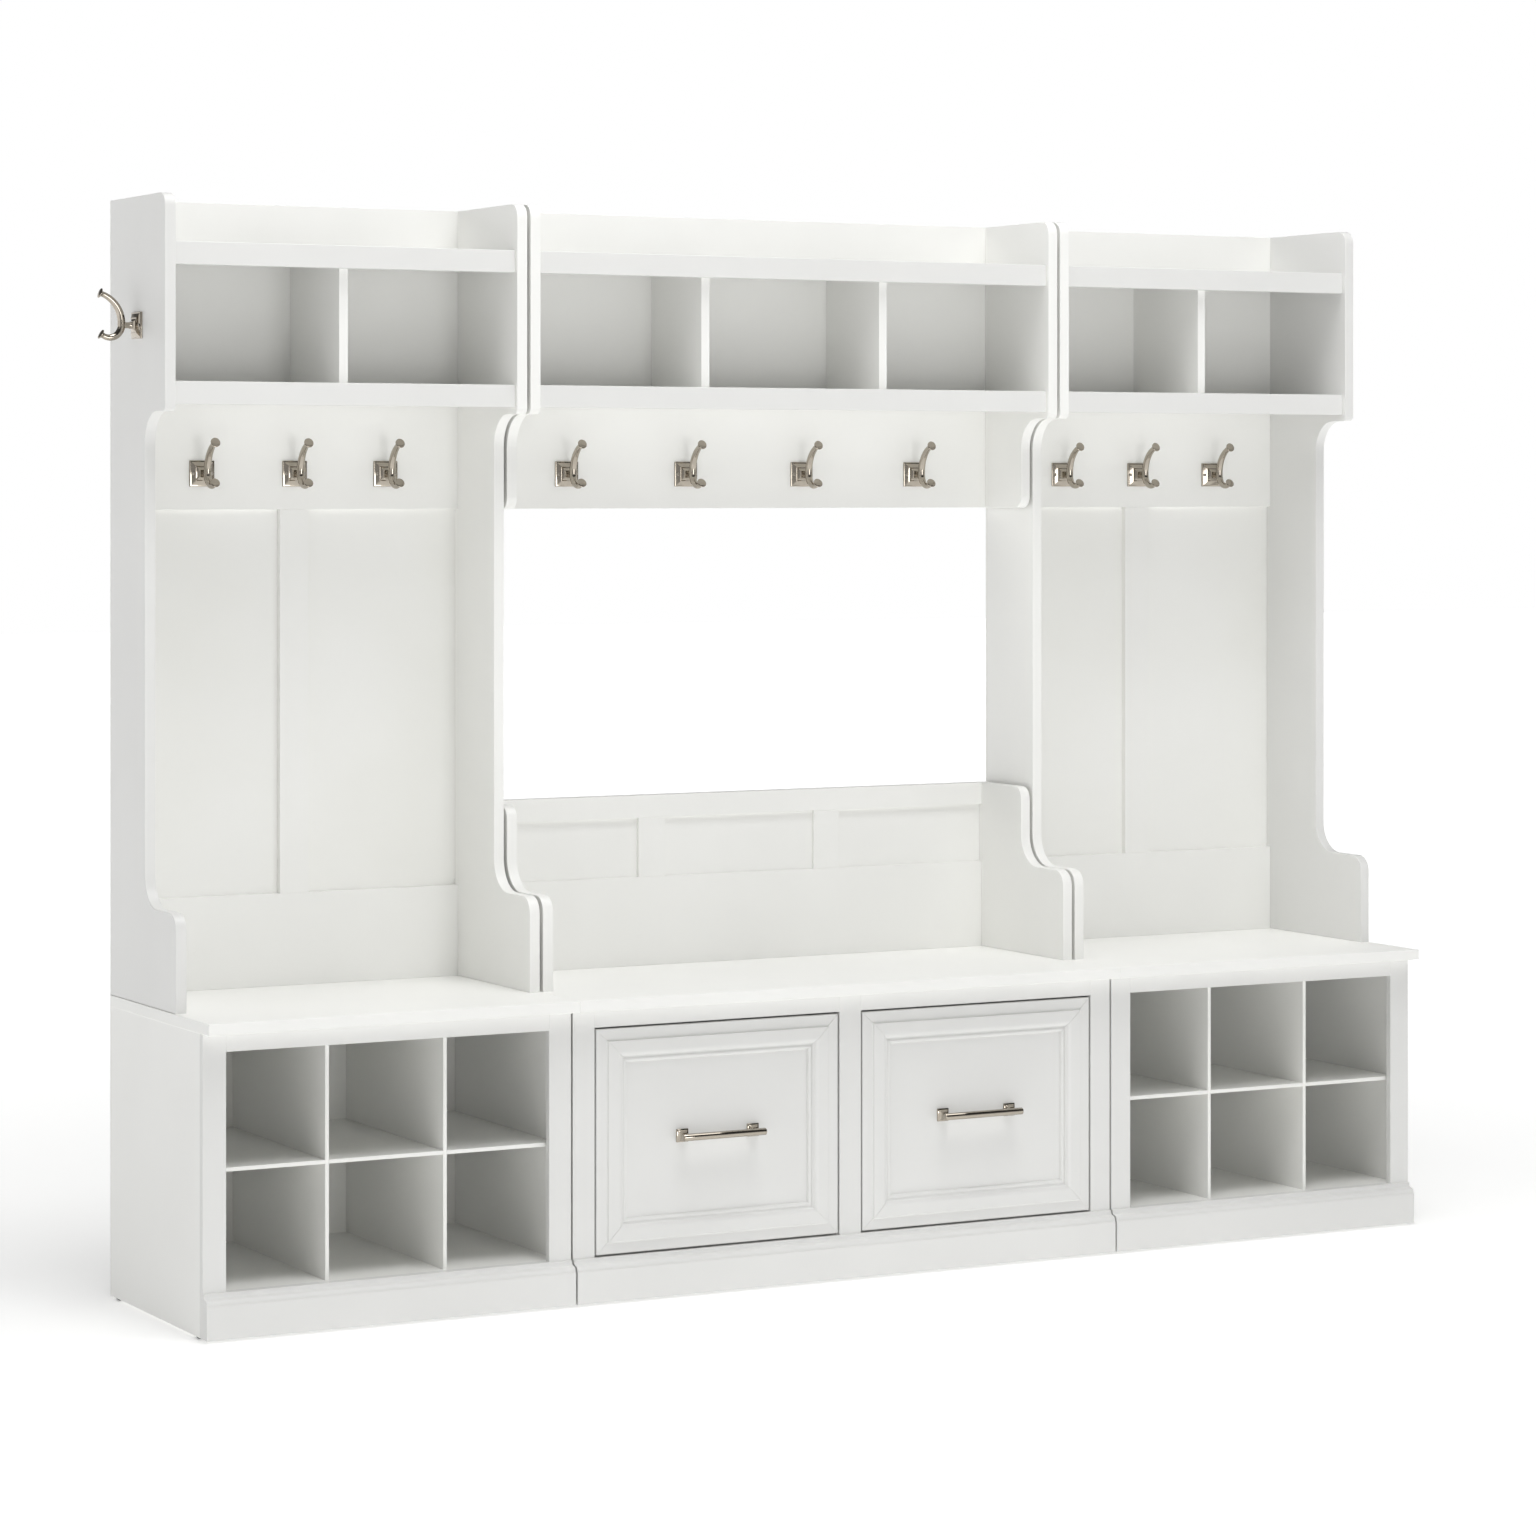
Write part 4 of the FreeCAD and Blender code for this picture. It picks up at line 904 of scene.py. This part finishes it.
@dataclass
class Studio:
    """A pale floor, a white surround, soft lights and the camera.

    Places on the floor are in metres from its middle. The fields cove_top, ceiling_foot and cove_turn
    say how steeply a direction points up or forwards, from -1 to 1. The strengths of the glow, the sheet,
    the ceiling and the cove's front are shares of the cove's own light.
    """

    eye: tuple[float, float, float] = (-3.4924, -6.4040, 1.2961)
    heading: float = -28.256
    lens: float = 102.23
    sensor: float = 36.0
    rise: float = -0.18405
    sight: float = 100.0
    floor_half: float = 30.0
    floor_white: str = "f4f4f3"
    # Rolled paint has a tooth of about 1 mm; it is drawn coarser, so that it shows.
    floor_tooth_mm: float = 11.11
    floor_tooth_depth_mm: float = 0.1
    floor_tooth_strength: float = 0.15
    floor_roughness: float = 0.7
    floor_glow: float = 0.34
    cove_white: str = "ffffff"
    cove_start: float = 0.8
    cove_end: float = 6.0
    sheet_start: float = -2.5
    sheet_end: float = -6.5
    sheet_dim: float = 0.35
    cove_top: float = 0.19
    ceiling_foot: float = 0.27
    ceiling: float = 0.12
    cove_turn: float = -0.4
    cove_front: float = 0.42

    def floor_light(self, tree: bpy.types.NodeTree,
                    place: bpy.types.NodeSocket) -> bpy.types.NodeSocket:
        """Work out the floor's own light: brighter far off, like a cove, and dimmer towards the viewer.

        Args:
            tree: The floor's node tree.
            place: The socket that gives a spot's place on the floor.

        Returns:
            The socket that gives the light's strength.
        """
        far = add_node(tree, "ShaderNodeVectorMath", {"operation": "LENGTH"}, {0: place})
        glow = add_node(tree, "ShaderNodeMapRange",
                        {"From Min": self.cove_start, "From Max": self.cove_end,
                         "To Min": self.floor_glow, "To Max": 1.0, "interpolation_type": "SMOOTHSTEP"},
                        {"Value": far.outputs["Value"]})
        along = add_node(tree, "ShaderNodeSeparateXYZ", links={"Vector": place}).outputs["Y"]
        sheet = add_node(tree, "ShaderNodeMapRange",
                         {"From Min": self.sheet_end, "From Max": self.sheet_start,
                          "To Min": self.sheet_dim},
                         {"Value": along})
        lit = add_node(tree, "ShaderNodeMath", {"operation": "MULTIPLY"},
                       {0: glow.outputs["Result"], 1: sheet.outputs["Result"]})
        return lit.outputs["Value"]

    def floor(self) -> bpy.types.Object:
        """Lay the floor, one broad sheet of matte white board with a faint light of its own.

        Returns:
            The floor.
        """
        # Board painted dead matte: it takes soft shadows and gives back no glare.
        material, tree = new_material("matte_white_floor")
        place = add_node(tree, "ShaderNodeTexCoord").outputs["Object"]
        tooth = add_node(tree, "ShaderNodeTexNoise",
                         {"Scale": 1 / (self.floor_tooth_mm * MM), "Detail": 2.0}, {"Vector": place})
        bump = add_node(tree, "ShaderNodeBump",
                        {"Strength": self.floor_tooth_strength,
                         "Distance": self.floor_tooth_depth_mm * MM},
                        {"Height": tooth.outputs["Fac"]})
        shader = add_node(tree, "ShaderNodeBsdfPrincipled",
                          {"Base Color": linear(self.floor_white), "Roughness": self.floor_roughness,
                           "Emission Color": linear(self.cove_white)},
                          {"Normal": bump.outputs["Normal"],
                           "Emission Strength": self.floor_light(tree, place)})
        add_node(tree, "ShaderNodeOutputMaterial", links={"Surface": shader.outputs["BSDF"]})
        shape = bmesh.new()
        bmesh.ops.create_grid(shape, x_segments=8, y_segments=8, size=self.floor_half)
        piece = mesh_piece("studio_floor", shape, material)
        return piece

    def surround(self) -> None:
        """Ring the room with a white cove, brightest behind the furniture, under a dim ceiling."""
        world = bpy.data.worlds.new("white_cove")
        world.use_nodes = True
        tree = world.node_tree
        way = add_node(tree, "ShaderNodeTexCoord").outputs["Generated"]
        axes = add_node(tree, "ShaderNodeSeparateXYZ", links={"Vector": way}).outputs
        height = add_node(tree, "ShaderNodeMapRange",
                          {"From Min": self.cove_top, "From Max": self.ceiling_foot,
                           "To Min": 1.0, "To Max": self.ceiling},
                          {"Value": axes["Z"]})
        depth = add_node(tree, "ShaderNodeMapRange",
                         {"From Min": self.cove_turn, "From Max": 0.0,
                          "To Min": self.cove_front, "To Max": 1.0},
                         {"Value": axes["Y"]})
        level = add_node(tree, "ShaderNodeMath", {"operation": "MULTIPLY"},
                         {0: height.outputs["Result"], 1: depth.outputs["Result"]})
        background = tree.nodes["Background"]
        background.inputs["Color"].default_value = linear(self.cove_white)
        tree.links.new(level.outputs["Value"], background.inputs["Strength"])
        bpy.context.scene.world = world

    def camera(self) -> None:
        """Set the camera up level, with its lens shifted down to frame the whole piece."""
        data = bpy.data.cameras.new("camera")
        data.lens = self.lens
        data.sensor_width = self.sensor
        data.shift_y = self.rise
        data.clip_end = self.sight
        piece = bpy.data.objects.new("camera", data)
        piece.location = self.eye
        piece.rotation_euler = (math.radians(90), 0, math.radians(self.heading))
        bpy.context.scene.collection.objects.link(piece)
        bpy.context.scene.camera = piece

    def build(self) -> None:
        """Put the whole studio together."""
        self.floor()
        self.surround()
        for softbox in SOFTBOXES:
            softbox.hang()
        self.camera()
        scene = bpy.context.scene
        scene.view_settings.view_transform = "Standard"
        scene.view_settings.look = "None"


def main() -> None:
    """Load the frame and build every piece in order."""
    logging.basicConfig(level=logging.INFO, format="%(name)s: %(message)s")
    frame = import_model()
    made = {slot: finish.make() for slot, finish in FINISHES.items()}
    Joinery(frame["record"], frame["nodes"]).dress(made, SHADED_FRONT_PAINT.make())
    HookSet().build(CoatHook(), CrossHeadScrew(), made[Slot.NICKEL], made[Slot.SCREW])
    for side in ("left", "right"):
        pull = DrawerPull(side).build(made[Slot.NICKEL])
        log.info("%s is on its drawer", pull.name)
    Studio().build()


if __name__ == "__main__":
    main()
